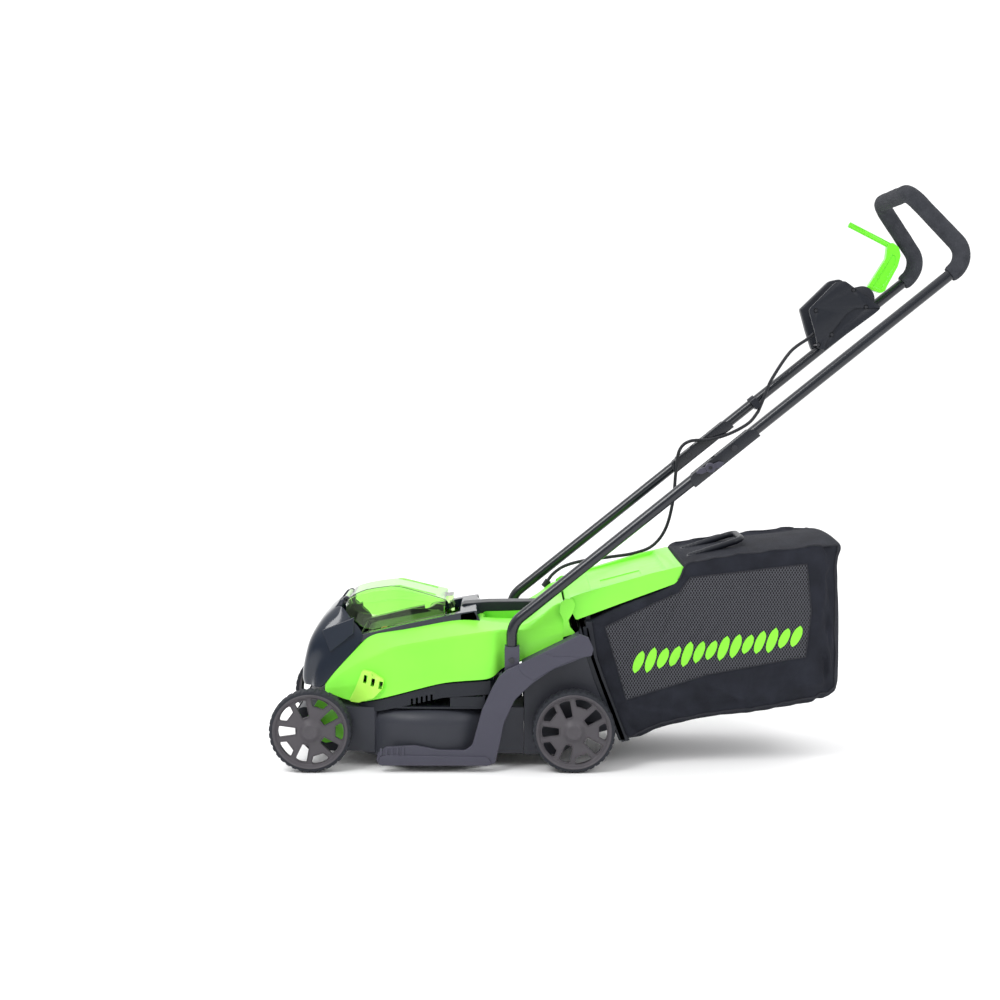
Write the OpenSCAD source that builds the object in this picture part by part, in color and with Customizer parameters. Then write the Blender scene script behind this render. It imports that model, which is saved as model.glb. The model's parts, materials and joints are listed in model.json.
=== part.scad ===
// Cordless push lawn mower with a rear grass bag and a folding U handle.
// +X is the mower's left side, -Y its front, +Y the end where the user walks, +Z up.
// The origin lies on the ground below the middle of the mower. Sizes are millimetres.

/* [Wheels] */
// Radius of each wheel over its tread
wheel_r = 76; // [75:0.5:77]
// Width of each wheel
wheel_w = 35; // [33:1:36]
// Distance from the middle of the mower to the middle of each wheel
wheel_x = 177.5; // [177.5:0.5:179]
// Distance from the origin forward to the front axle
front_axle = 554; // [550:1:558]
// Distance from the origin forward to the rear axle
rear_axle = 74; // [72:1:76]
// Radius of each steel axle
axle_r = 5; // [4.5:0.5:5]
// Number of lugs round each tyre
tyre_lugs = 30; // [24:2:36]

/* [Cutting deck] */
// Radius that the blade sweeps
blade_r = 165; // [150:1:166]
// Height of the cutting edge above the ground
cut_height = 45; // [42:1:48]
// Distance from the origin forward to the blade's spindle
spindle_y = 335; // [330:1:340]
// Wall thickness of the moulded deck
deck_wall = 4; // [3:0.5:4]

/* [Covers] */
// Wall thickness of the covers
wall = 3; // [2.5:0.5:3.5]
// Half width of the battery lid at its lower edge
lid_half = 78; // [76:1:80]
// Half width of the discharge flap
flap_half = 142; // [138:1:143]

/* [Handle] */
// Distance from the middle of the mower to each handle tube
tube_x = 165; // [165:0.5:166]
// Radius of the handle tubes
tube_r = 10; // [9.5:0.5:10]
// Wall thickness of the handle tubes
tube_wall = 1.2; // [1:0.1:1.5]
// Radius of the foam over the grip
foam_r = 16; // [15:0.5:17]
// Radius of the switch cable
cable_r = 3.3; // [3:0.1:3.4]

/* [Grass bag] */
// Half width of the bag
bag_half = 148; // [144:1:149]
// Thickness of the bag's fabric
bag_wall = 3; // [2:0.5:4]

/* [Hidden] */
$fn = 48;

green = [0.42, 0.86, 0.16];
dark = [0.12, 0.13, 0.15];
grey = [0.34, 0.34, 0.38];
steel = [0.7, 0.7, 0.72];

// Clearances: a running fit on a pin, and the gap between parts that pass each other
run_gap = 0.05;
part_gap = 0.4;
// How far a cutting shape runs past the solid that it cuts
over = 1;
// A height that is safely below every cover, for shells that are open underneath
below = -10;

// Handle line: both straight tubes lie on it, seen from the side
handle_angle = 39;
along = [0, cos(handle_angle), sin(handle_angle)];
// Point where the handle line crosses the upright stub of the lower tube
stub_y = -187;
stub_top = 270;
stub_foot = 152;
stub_bend = 45;
// Fold pivot on the handle line, and the second bolt above it
pivot = [0, 168, stub_top + (168 - stub_y) * tan(handle_angle)];
bolt_pitch = 56;
grip_y = 629;
grip_corner = [tube_x, grip_y, stub_top + (grip_y - stub_y) * tan(handle_angle)];
grip_top = [110, 530, 1055];
handle_bend = 40;

// Hinge of the discharge flap, and of the battery lid
flap_hinge = [0, -80, 306];
lid_hinge = [0, -500, 297];
hinge_pin_r = 2.5;

// Lever pivot on the switch box
lever_pivot = [0, 502, 868];
lever_pivot_r = 4;

// ---------------------------------------------------------------- helpers

function unit(v) = v / norm(v);
function mirrored_outline(half) = concat(half, [for (i = [len(half) - 1:-1:0]) [-half[i].x, half[i].y]]);
function shifted(points, move) = [for (p = points) p + move];

// Extrudes a (Y, Z) outline along X from x0 to x1.
module side_plate(outline, x0, x1)
    translate([x0, 0, 0]) rotate([90, 0, 90]) linear_extrude(x1 - x0) polygon(outline);

// Extrudes an (X, Z) outline along Y from y0 to y1.
module front_plate(outline, y0, y1)
    translate([0, y1, 0]) rotate([90, 0, 0]) linear_extrude(y1 - y0) polygon(outline);

// Extrudes an (X, Y) outline along Z from z0 to z1.
module plan_plate(outline, z0, z1)
    translate([0, 0, z0]) linear_extrude(z1 - z0) polygon(outline);

// Box between two opposite corners.
module block(low, high) translate(low) cube(high - low);

// Round bar along X.
module x_rod(r, x0, x1, y, z) translate([x0, y, z]) rotate([0, 90, 0]) cylinder(r = r, h = x1 - x0);

// Places children in the frame given by an origin and three axes.
module framed(origin, x, y, z)
    multmatrix([
        [x.x, y.x, z.x, origin.x],
        [x.y, y.y, z.y, origin.y],
        [x.z, y.z, z.z, origin.z],
        [0, 0, 0, 1]
    ]) children();

// Round bar from a to b.
module bar(a, b, r) {
    z = unit(b - a);
    x = unit(cross(abs(z.x) < 0.9 ? [1, 0, 0] : [0, 1, 0], z));
    framed(a, x, cross(z, x), z) cylinder(r = r, h = norm(b - a));
}

// Length of straight tube that the bend takes on each side of a corner.
function bend_cut(before, p, after, bend_r) =
    bend_r * tan(acos(unit(p - before) * unit(after - p)) / 2);

// Points along the bend at the corner p of a path that comes from before and goes to after.
function bend_points(before, p, after, bend_r) =
    let (u = unit(p - before), v = unit(after - p), angle = acos(u * v),
        inward = unit(v - (v * u) * u),
        centre = p - u * bend_cut(before, p, after, bend_r) + inward * bend_r,
        steps = ceil(angle / 9))
    [for (i = [0:steps]) let (a = angle * i / steps)
        centre + bend_r * (u * sin(a) - inward * cos(a))];

// Centre line of a tube with a bend at each inner corner.
function bent_path(points, bend_r) = let (n = len(points) - 1) concat(
    [points[0]],
    [for (i = [1:n - 1]) each bend_points(points[i - 1], points[i], points[i + 1], bend_r)],
    [points[n]]);

// Carries a sideways direction along a path without twisting it.
function carried(dirs, side, i = 0) = i == len(dirs) ? []
    : let (s = unit(side - (side * dirs[i]) * dirs[i])) concat([s], carried(dirs, s, i + 1));

// Tube swept along a path; an inner radius of 0 makes it solid.
module swept(path, r, inner_r = 0, sides = 24) {
    n = len(path);
    dirs = [for (i = [0:n - 1]) unit(path[min(i + 1, n - 1)] - path[max(i - 1, 0)])];
    sideways = carried(dirs, unit(cross(dirs[0], [1, 0.2, 0])));
    function ring(i, radius) = [for (k = [0:sides - 1]) let (a = k * 360 / sides)
        path[i] + radius * (cos(a) * sideways[i] + sin(a) * cross(dirs[i], sideways[i]))];
    outer = [for (i = [0:n - 1]) each ring(i, r)];
    inner = [for (i = [0:n - 1]) each ring(i, inner_r)];
    last = (n - 1) * sides;
    function next(k) = (k + 1) % sides;
    walls = [for (i = [0:n - 2]) for (k = [0:sides - 1])
        [i * sides + k, (i + 1) * sides + k, (i + 1) * sides + next(k), i * sides + next(k)]];
    if (inner_r == 0) {
        ends = [[for (k = [0:sides - 1]) k], [for (k = [sides - 1:-1:0]) last + k]];
        polyhedron(outer, concat(walls, ends));
    } else {
        m = n * sides;
        inner_walls = [for (f = walls) [for (k = [3:-1:0]) f[k] + m]];
        start = [for (k = [0:sides - 1]) [k, next(k), m + next(k), m + k]];
        end = [for (k = [0:sides - 1])
            [m + last + k, m + last + next(k), last + next(k), last + k]];
        polyhedron(concat(outer, inner), concat(walls, inner_walls, start, end));
    }
}

// Puts a part on the left or, mirrored, on the right side.
module on_side(left) {
    if (left) children();
    else mirror([1, 0, 0]) children();
}
module both_sides() {
    children();
    mirror([1, 0, 0]) children();
}

// Places children with local X along the machine's X, local Y along the handle and local Z
// square to it, so that shapes on the sloping tubes are drawn straight.
module on_handle(origin)
    framed(origin, [1, 0, 0], along, [0, -sin(handle_angle), cos(handle_angle)]) children();

// ---------------------------------------------------------------- deck

// Half width of the green body at each station along its length.
body_widths = [
    [-590, 66], [-578, 96], [-560, 112], [-530, 124], [-490, 136], [-455, 148], [-420, 159],
    [-380, 165], [-330, 167], [-226, 167], [-210, 149], [-60, 149]
];
function body_half(inset) = [for (s = body_widths) [s.y - inset, s.x]];
module body_plan(inset, z0, z1) plan_plate(mirrored_outline(body_half(inset)), z0, z1);

bowl_r = blade_r + 13;
bowl_top = 112;
bowl_foot = 22;
chute_half = 110;

function bowl_outline(inset) = [
    [0, bowl_top - inset], [bowl_r - 28 - inset / 2, bowl_top - inset],
    [bowl_r - 8 - inset, 102 - inset / 2], [bowl_r - inset, 84],
    [bowl_r - inset, inset == 0 ? bowl_foot : below], [0, inset == 0 ? bowl_foot : below]
];

module deck_shell() color(dark) {
    box_front = -590;
    box_half = 148;
    box_foot = 30;
    rear_end = -165;
    slope = [[box_front, 64], [box_front, 98], [box_front + 14, bowl_top], [rear_end, bowl_top],
        [rear_end, 24], [-330, 24], [-480, box_foot], [-560, box_foot]];
    pocket = [[box_front + deck_wall, below], [box_front + deck_wall, 97],
        [box_front + 16, bowl_top - deck_wall], [-400, bowl_top - deck_wall], [-400, below]];
    difference() {
        union() {
            side_plate(slope, -box_half, box_half);
            translate([0, -spindle_y, 0]) rotate_extrude() polygon(bowl_outline(0));
        }
        translate([0, -spindle_y, 0]) rotate_extrude() polygon(bowl_outline(deck_wall));
        difference() {
            side_plate(pocket, deck_wall - box_half, box_half - deck_wall);
            translate([0, -spindle_y, below - over]) cylinder(r = bowl_r, h = bowl_top + 20);
        }
        // Way out of the bowl into the chute
        block([-chute_half, -spindle_y, below], [chute_half, rear_end + 20, bowl_top - deck_wall]);
        translate([0, -spindle_y, bowl_top - 2 * deck_wall]) cylinder(r = 12, h = 4 * deck_wall);
        x_rod(axle_r + run_gap, -160, 160, -front_axle, wheel_r);
    }
}

chute_outer = [[-164.5, 24], [-164.5, 147], [-140, 172], [-112, 192], [-90, 205], [-64, 250],
    [-61, 262], [-44, 206], [-30, 163], [-6, 88], [-6, 70], [-40, 62], [-100, 24]];
chute_tunnel = [[-170, below], [-170, 110], [-110, 170], [-78, 250], [-45, 250], [-20, 163],
    [6, 92], [-60, 96], [-158, 34], [-158, below]];

module discharge_chute() color(dark) {
    half = 148;
    pocket = [[-158, below], [-158, 143], [-110, 184], [-60, 200], [-40, 160], [-22, 100],
        [-22, below]];
    difference() {
        side_plate(chute_outer, -half, half);
        side_plate(chute_tunnel, -chute_half, chute_half);
        both_sides() side_plate(pocket, chute_half + deck_wall, half - deck_wall);
        x_rod(axle_r + run_gap, -160, 160, -rear_axle, wheel_r);
    }
}

// Grey side skirt: a plate that sweeps up over the rear wheel.
skirt_upper = [[-433, 20], [-432, 34], [-416, 47], [-364, 50], [-320, 41], [-270, 41], [-259, 50],
    [-252, 80], [-240, 118], [-231, 138], [-222, 158], [-211, 176], [-199, 188], [-175, 199],
    [-131, 221], [-92, 240], [-65, 255], [-48, 250]];
skirt_lower = [[-39, 227], [-42, 216], [-79, 206], [-113, 191], [-145, 169], [-166, 150],
    [-182, 134], [-192, 116], [-201, 90], [-209, 52], [-216, 20], [-232, 12], [-424, 12]];
skirt_in = 182;
skirt_out = 189;

module skirt() {
    shelf_in = 150;
    shelf = [[-210, 177], [-199, 188], [-175, 199], [-131, 221], [-92, 240],
        [-65, 255], [-65, 252], [-92, 237], [-131, 218], [-175, 196], [-199, 184], [-210, 173]];
    rib_pitch = 15;
    difference() {
        union() {
            side_plate(concat(skirt_upper, skirt_lower), skirt_in, skirt_out);
            side_plate(shelf, shelf_in, skirt_in + over);
            // Short ribs at the front end
            for (i = [0:3])
                block([skirt_out - over, -428 + i * rib_pitch, 18],
                    [skirt_out + 2, -422 + i * rib_pitch, 40 + 2 * i]);
        }
        // Room for the handle socket, and a hollow in the inner face
        block([shelf_in - over, -205, 120], [181.5, -169, 260]);
        block([skirt_in - over, -420, 16], [skirt_out - wall, -220, 34]);
    }
}
module side_skirt_left() color(grey) skirt();
module side_skirt_right() color(grey) on_side(false) skirt();

// Dark tray between the deck and the green cover; the motor and the battery bay stand on it.
module chassis_tray() color(dark) {
    inset = 4;
    floor_top = bowl_top + 4;
    band = [[-470, 98], [-429, 106], [-344, 126], [-313, 133], [-231, 139], [-212, 139], [-212, 166],
        [-316, 159], [-375, 143], [-428, 127], [-470, 117]];
    tray_floor = [[-470, bowl_top + 0.2], [-470, floor_top], [-212, floor_top],
        [-212, bowl_top + 0.2]];
    slot_pitch = 9;
    difference() {
        union() {
            difference() {
                intersection() {
                    side_plate(band, -200, 200);
                    body_plan(inset, 0, 300);
                }
                body_plan(inset + wall, 0, 300);
            }
            intersection() {
                side_plate(tray_floor, -200, 200);
                body_plan(inset, 0, 300);
            }
            // Webs that tie the band's high rear part to the floor
            both_sides() block([100, -240, floor_top - over], [162, -236, 140]);
            both_sides() block([157, -300, floor_top - over], [162, -236, 135]);
        }
        translate([0, -spindle_y, 0]) cylinder(r = 48, h = 200);
        // Seat on the front box of the deck
        block([-148.5, -600, 90], [148.5, -400, bowl_top + 0.2]);
        // Cooling slots in the band
        for (i = [0:4])
            block([-200, -372 + i * slot_pitch, 119 + 2 * i], [200, -368 + i * slot_pitch, 131 + 2 * i]);
    }
}

// ---------------------------------------------------------------- covers

cover_top = [[-540, 138], [-527, 160], [-465, 227], [-452, 237], [-411, 245], [-330, 260],
    [-280, 268], [-245, 263], [-162, 262], [-128, 284], [-106, 305], [-92, 306]];
cover_rear = [[-84, 280], [-80, 262], [-70, 250]];
cover_foot = [[-92, 243], [-131, 224], [-175, 202], [-212, 190], [-222, 169], [-316, 162],
    [-375, 146], [-428, 130], [-481, 119]];

bay_half = 72;
bay_front = -478;
bay_rear = -304;
tub_half = 62;

module top_cover() color(green) {
    inside = concat(shifted(cover_top, [0, -wall]), [[-96, below], [-536, below]]);
    tub = [[-242, 400], [-232, 228], [-150, 228], [-128, 400]];
    nose = [[-700, 0], [-540, 0], [-531, 152], [-474, 217], [-462, 240], [-455, 400], [-700, 400]];
    ear = [[-100, 296], [-97, 306], [-88, 314], [-76, 314], [-71, 306], [-74, 292], [-88, 270]];
    difference() {
        union() {
            intersection() {
                side_plate(concat(cover_top, cover_rear, cover_foot), -200, 200);
                body_plan(0, 0, 400);
            }
            both_sides() side_plate(ear, flap_half + 1.5, 149);
        }
        difference() {
            intersection() {
                side_plate(inside, -200, 200);
                body_plan(wall, 0, 400);
            }
            // The walls of the finger recess under the carrying handle stay
            side_plate([[-246, 400], [-235, 225], [-147, 225], [-124, 400]], -tub_half - wall,
                tub_half + wall);
        }
        side_plate(tub, -tub_half, tub_half);
        side_plate(nose, -200, 200);
        // Opening for the battery bay and its black surround
        block([-100, -500, 150], [100, -262, 400]);
        // Seat of the flap's hinge rod
        x_rod(3 + run_gap, -147, 147, flap_hinge.y, flap_hinge.z);
        // Slots behind the side vents
        both_sides() for (i = [0:2])
            block([155, -461 + i * 16, 152], [200, -455 + i * 16, 170 - i * 5]);
    }
}

nose_outer = [[-582, 148], [-578, 180], [-570, 216], [-560, 238], [-545, 262], [-522, 284],
    [-506, 286], [-484, 262], [-464, 238], [-476, 216], [-532, 151], [-546, 141]];

module front_cover() color(dark) {
    nose_inner = [[-577, below], [-574, 180], [-566, 214], [-556, 236], [-542, 258], [-521, 279],
        [-509, 281], [-487, 257], [-470, 236], [-480, 216], [-535, 151], [-548, below]];
    trim = [[-482, 236], [-464, 238], [-452, 242], [-385, 258], [-282, 279], [-252, 284],
        [-250, 266], [-282, 266], [-385, 246], [-452, 232], [-480, 220]];
    bridge = [[-290, 266], [-282, 279], [-252, 284], [-250, 266]];
    grille_pitch = 9;
    difference() {
        union() {
            difference() {
                intersection() {
                    side_plate(nose_outer, -200, 200);
                    body_plan(0, 0, 400);
                }
                intersection() {
                    side_plate(nose_inner, -200, 200);
                    body_plan(wall, 0, 400);
                }
            }
            both_sides() side_plate(trim, lid_half + 1.5, 99.5);
            side_plate(bridge, -99.5, 99.5);
            // Knuckles that carry the lid's hinge pin
            both_sides() side_plate([[-520, 280], [-506, 302], [-500, 304], [-494, 302],
                [-490, 290], [-496, 276]], 44.5, 54);
        }
        // Space that the lid closes over
        block([-lid_half - 1, -495, 200], [lid_half + 1, -291, 400]);
        x_rod(hinge_pin_r, -60, 60, lid_hinge.y, lid_hinge.z);
        // Air slots low on the nose
        for (i = [0:3])
            block([-70, -600, 156 + i * grille_pitch], [70, -560, 160 + i * grille_pitch]);
    }
}

// Air outlets on both flanks: a raised pod with three slots.
module side_vents() color(green) both_sides() {
    pod = [[-484, 122], [-474, 142], [-462, 180], [-444, 178], [-422, 166], [-423, 148],
        [-440, 132]];
    difference() {
        intersection() {
            side_plate(pod, 120, 172);
            body_plan(-4, 0, 300);
        }
        body_plan(0, 0, 300);
        for (i = [0:2])
            block([120, -461 + i * 14, 156 - i * 4], [200, -457 + i * 14, 172 - i * 4]);
    }
}

module carry_handle() color(dark) {
    side_plate([[-284, 279.8], [-282, 285], [-276, 287], [-248, 287], [-154, 286], [-116, 308],
        [-100, 312], [-96, 307], [-107, 305.5], [-130, 284.5], [-162, 264], [-176, 268],
        [-240, 272], [-246, 285.4]], -20, 20);
}

module battery_tray() color(dark) {
    tray_wall = 2.5;
    floor_z = 188;
    difference() {
        block([-bay_half, bay_front + 6, floor_z], [bay_half, bay_rear, 236]);
        block([-bay_half + tray_wall, bay_front + 6 + tray_wall, floor_z + tray_wall],
            [bay_half - tray_wall, bay_rear - tray_wall, 300]);
    }
    // Posts down to the chassis tray
    both_sides() for (y = [bay_front + 16, bay_rear - 16])
        block([bay_half - 12, y - 5, bowl_top + 4], [bay_half - 2, y + 5, floor_z + over]);
}

module battery_pack() color([0.2, 0.21, 0.22]) {
    side_plate([[-462, 191], [-462, 234], [-448, 240], [-330, 262], [-314, 258], [-314, 191]],
        -44, 44);
    both_sides() block([43, -450, 205], [48, -330, 215]);
}

module safety_key() color([0.9, 0.4, 0.15]) {
    block([54, -440, 190.5], [66, -414, 232]);
    x_rod(9, 55, 65, -427, 238);
}

module lid_hinge_pin() color(steel)
    x_rod(hinge_pin_r, -54, 54, lid_hinge.y, lid_hinge.z);

module battery_lid() color([0.35, 0.75, 0.2, 0.6]) {
    outer = [[-484, 268], [-499, 290], [-494, 303], [-472, 312], [-416, 322], [-401, 322],
        [-318, 300], [-300, 298], [-295, 286], [-299, 272], [-309, 276], [-386, 260], [-454, 244],
        [-462, 248]];
    inner = [[-462, 200], [-480, 270], [-492, 289], [-489, 299], [-471, 308.5], [-416, 318.5],
        [-402, 318.5], [-319, 296.5], [-304, 294], [-303, 200]];
    cross_section = mirrored_outline([[lid_half, 200], [lid_half - 1, 262], [lid_half - 6, 288],
        [52, 320], [46, 330]]);
    cross_inner = mirrored_outline([[lid_half - wall, 190], [lid_half - wall - 1, 261],
        [lid_half - wall - 6, 286], [50, 316], [44, 326]]);
    difference() {
        union() {
            difference() {
                intersection() {
                    side_plate(outer, -lid_half, lid_half);
                    front_plate(cross_section, -520, -280);
                }
                intersection() {
                    side_plate(inner, -lid_half, lid_half);
                    front_plate(cross_inner, -520, -280);
                }
            }
            x_rod(6, -43.5, 43.5, lid_hinge.y, lid_hinge.z);
        }
        x_rod(hinge_pin_r + run_gap, -50, 50, lid_hinge.y, lid_hinge.z);
        // Clearance beside the barrel for the fixed knuckles
        both_sides() block([43.9, -512, 270], [55, -488, 310]);
    }
}

// ---------------------------------------------------------------- motor and blade

module motor_housing() color([0.25, 0.25, 0.27]) {
    can_top = 184;
    translate([0, -spindle_y, 0]) difference() {
        union() {
            translate([0, 0, bowl_top + 0.2]) cylinder(r = 44, h = can_top - bowl_top);
            translate([0, 0, bowl_top + 4]) cylinder(r = 47, h = 5);
        }
        // Bearing bore for the shaft
        translate([0, 0, bowl_top - over]) cylinder(r = 6 + run_gap, h = can_top - bowl_top - 6);
        // Winding space
        translate([0, 0, bowl_top + 18]) difference() {
            cylinder(r = 39, h = 44);
            cylinder(r = 12, h = 44);
        }
    }
}

module motor_shaft() color(steel) translate([0, -spindle_y, 0]) {
    translate([0, 0, cut_height + 8]) cylinder(r = 6, h = 118);
}

module blade_adapter() color(grey) translate([0, -spindle_y, 0]) difference() {
    union() {
        translate([0, 0, cut_height + 4.2]) cylinder(r = 24, h = 6);
        translate([0, 0, cut_height + 10]) cylinder(r = 14, h = 20);
    }
    translate([0, 0, cut_height + 4]) cylinder(r = 6, h = 40);
}

module cutting_blade() color(steel) translate([0, -spindle_y, cut_height]) {
    blade_t = 4;
    half_w = 22;
    difference() {
        linear_extrude(blade_t) polygon([
            [blade_r - 2, -half_w + 8], [blade_r - 2, half_w - 6], [blade_r - 12, half_w],
            [60, half_w], [36, 27], [-36, 27], [2 - blade_r, half_w],
            [2 - blade_r, 8 - half_w + 6], [12 - blade_r, -half_w], [-60, -half_w],
            [-36, -27], [36, -27]
        ]);
        translate([0, 0, -over]) cylinder(r = 5.05, h = 10);
    }
    // Raised wings at the trailing edges lift the grass
    for (turn = [0, 180]) rotate(turn)
        translate([blade_r - 58, half_w - 7, blade_t]) rotate([90, 0, 90]) linear_extrude(50)
            polygon([[-6, -0.5], [5, 10], [7, 8.5], [-1, -0.5]]);
}

module blade_bolt() color(steel) translate([0, -spindle_y, 0]) {
    translate([0, 0, cut_height - 8]) cylinder(r = 9, h = 6, $fn = 6);
    translate([0, 0, cut_height - 2]) cylinder(r = 15, h = 1.9);
    translate([0, 0, cut_height - 3]) cylinder(r = 5, h = 10.9);
}

module controller_box() color([0.15, 0.3, 0.2])
    block([-55, -282, bowl_top + 4.2], [55, -222, 166]);

// ---------------------------------------------------------------- axles and wheels

module front_axle_rod() color(steel) x_rod(axle_r, -188, 188, -front_axle, wheel_r);
module rear_axle_rod() color(steel) x_rod(axle_r, -188, 188, -rear_axle, wheel_r);

module axle_clips() color(steel)
    both_sides() for (y = [-front_axle, -rear_axle]) difference() {
        x_rod(10, 157, 158.5, y, wheel_r);
        x_rod(axle_r, 150, 165, y, wheel_r);
    }

module front_axle_carrier() color(green) both_sides() {
    difference() {
        side_plate([[-578, 60], [-578, 100], [-560, 130], [-528, 138], [-498, 118], [-488, 80],
            [-496, 50], [-520, 44]], 150, 154);
        x_rod(axle_r + run_gap, 140, 160, -front_axle, wheel_r);
    }
}

tyre_inner = 69;
narrow_window = [[26, -6], [58, -10.2], [60, 0], [58, 10.2], [26, 6]];
wide_window = [[47, -10.2], [59, -16.5], [63, -8], [64, 0], [63, 8], [59, 16.5], [47, 10.2]];

// Wheel in its own frame: the axle along Z and the outer face up.
module wheel_body() {
    half = wheel_w / 2;
    face_z = 5;
    face_t = 4;
    difference() {
        union() {
            // Rim
            rotate_extrude() polygon([[65, 3 - half], [tyre_inner, 3 - half],
                [tyre_inner, half - 1.5], [66, half - 0.5], [64, face_z + face_t + 3],
                [62, face_z + face_t], [62, face_z], [65, face_z - 3]]);
            // Face
            translate([0, 0, face_z]) cylinder(r = 63, h = face_t);
            // Raised ring round the hub
            translate([0, 0, face_z]) cylinder(r = 22, h = face_t + 2);
            rotate_extrude() polygon([[0, 1 - half], [11, 1 - half], [14, face_z], [18, face_z],
                [18, half - 3], [15, half], [0, half]]);
        }
        translate([0, 0, -half - over]) cylinder(r = axle_r + run_gap, h = wheel_w - 5);
        for (i = [0:4]) {
            rotate(108 + 72 * i) translate([0, 0, -half]) linear_extrude(wheel_w)
                polygon(narrow_window);
            rotate(144 + 72 * i) translate([0, 0, -half]) linear_extrude(wheel_w)
                polygon(wide_window);
        }
        // Dished hub face
        translate([0, 0, half - 2]) cylinder(r = 9, h = 3);
    }
}

module tyre_body() {
    half = wheel_w / 2;
    lug_angle = 360 / tyre_lugs;
    groove = 5;
    difference() {
        rotate_extrude() polygon([[tyre_inner, 2 - half], [wheel_r - 3, 2 - half],
            [wheel_r - 1, 4 - half], [wheel_r, 9 - half], [wheel_r, half - 9],
            [wheel_r - 1, half - 4], [wheel_r - 3, half - 2], [tyre_inner, half - 2]]);
        for (i = [0:tyre_lugs - 1]) {
            rotate(i * lug_angle) translate([wheel_r - 3, -groove / 2, 4])
                cube([over + 4, groove, wheel_w]);
            rotate((i + 0.5) * lug_angle) translate([wheel_r - 3, -groove / 2, -wheel_w - 4])
                cube([over + 4, groove, wheel_w]);
        }
    }
}

// Turns a wheel from its own frame onto the end of an axle.
module at_axle(left, y)
    on_side(left) translate([wheel_x, y, wheel_r]) rotate([90, 0, 90]) children();

module wheel_front_left() color(grey) at_axle(true, -front_axle) wheel_body();
module wheel_front_right() color(grey) at_axle(false, -front_axle) wheel_body();
module wheel_rear_left() color(grey) at_axle(true, -rear_axle) wheel_body();
module wheel_rear_right() color(grey) at_axle(false, -rear_axle) wheel_body();
module tyre_front_left() color(dark) at_axle(true, -front_axle) tyre_body();
module tyre_front_right() color(dark) at_axle(false, -front_axle) tyre_body();
module tyre_rear_left() color(dark) at_axle(true, -rear_axle) tyre_body();
module tyre_rear_right() color(dark) at_axle(false, -rear_axle) tyre_body();

// ---------------------------------------------------------------- flap

flap_rod_r = 3;

module flap_hinge_rod() color(steel)
    x_rod(flap_rod_r, -146.5, 146.5, flap_hinge.y, flap_hinge.z);

// Torsion spring on the rod, drawn as its closely wound turns.
module flap_spring() color(steel) {
    coil_r = 5;
    wire_r = 0.8;
    for (i = [0:5])
        translate([-10 + i * 1.8, flap_hinge.y, flap_hinge.z]) rotate([0, 90, 0])
            rotate_extrude() translate([coil_r, 0]) circle(r = wire_r);
}

module discharge_flap() color(green) {
    knuckle = [for (a = [90:30:210]) [flap_hinge.y + 9 * cos(a), flap_hinge.z + 9 * sin(a)]];
    outer = concat([[129, 373], [-50, 323], [-70, 317]], knuckle,
        [[-78, 290], [-68, 274], [-50, 281], [16, 306], [97, 336], [113, 344], [121, 354]]);
    inner = [[-66, 285], [-62, 312], [-50, 319.5], [123, 368.2], [118, 357], [108, 345], [97, 300],
        [-40, 250]];
    difference() {
        side_plate(outer, -flap_half, flap_half);
        side_plate(inner, wall - flap_half, flap_half - wall);
        // Shallow panel recess in the top
        side_plate([[-40, 324.2], [112, 366.6], [112, 380], [-40, 380]], 12 - flap_half,
            flap_half - 12);
        x_rod(flap_rod_r + run_gap, -150, 150, flap_hinge.y, flap_hinge.z);
        // Room for the spring on the rod
        x_rod(7, -13, 2, flap_hinge.y, flap_hinge.z);
    }
}

// ---------------------------------------------------------------- grass bag

bag_side = [[-40, 272], [-30, 206], [-15, 163], [24, 60], [32, 52], [48, 61], [89, 76], [177, 94],
    [265, 104], [412, 133], [424, 141], [429, 155], [431, 248], [421, 365], [426, 401], [418, 412],
    [363, 402], [221, 387], [136, 370], [118, 343], [16, 304]];
function bag_plan(inset) = mirrored_outline([[bag_half - inset, -80], [bag_half - inset, 370],
    [bag_half - inset - 8, 405], [bag_half - inset - 24, 426 - inset], [100, 440 - inset]]);

// Where the cloth neck under the flap is sewn to the body of the bag
bag_seam = 118;

module bag_cloth() {
    inside = [[-60, 262], [-20, 206], [-5, 163], [34, 64], [48, 65], [89, 80], [177, 98],
        [265, 108], [410, 137], [425, 156], [427, 248], [417, 365], [420, 398], [363, 398],
        [221, 383], [138, 366], [114, 338], [16, 300], [-38, 262], [-60, 262]];
    difference() {
        intersection() {
            side_plate(bag_side, -bag_half, bag_half);
            plan_plate(bag_plan(0), 0, 500);
        }
        intersection() {
            side_plate([for (i = [0:len(inside) - 2]) inside[i]], bag_wall - bag_half,
                bag_half - bag_wall);
            plan_plate(bag_plan(bag_wall), 0, 500);
        }
        // Mouth
        block([8 - bag_half, -60, 60], [bag_half - 8, 30, 256]);
    }
}

module bag_fabric() color([0.15, 0.16, 0.18]) intersection() {
    bag_cloth();
    block([-200, bag_seam, 0], [200, 500, 500]);
}

module bag_neck() color([0.15, 0.16, 0.18]) intersection() {
    bag_cloth();
    block([-200, -100, 0], [200, bag_seam - part_gap, 500]);
}

// Plastic frame round the bag's mouth, with a hook at each top corner.
module bag_frame() color(dark) {
    rim = [[-52, 272], [-40.4, 272], [-30.4, 206], [-15.4, 163], [23.6, 60], [31, 51], [16, 47],
        [-27, 163], [-42, 206]];
    opening_half = 122;
    difference() {
        side_plate(rim, -bag_half - 1, bag_half + 1);
        block([-opening_half, -100, 90], [opening_half, 100, 250]);
    }
    // Hooks
    both_sides() side_plate([[-52, 270], [-41, 271], [-43, 280], [-50, 279]], 118, 134);
}

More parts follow.
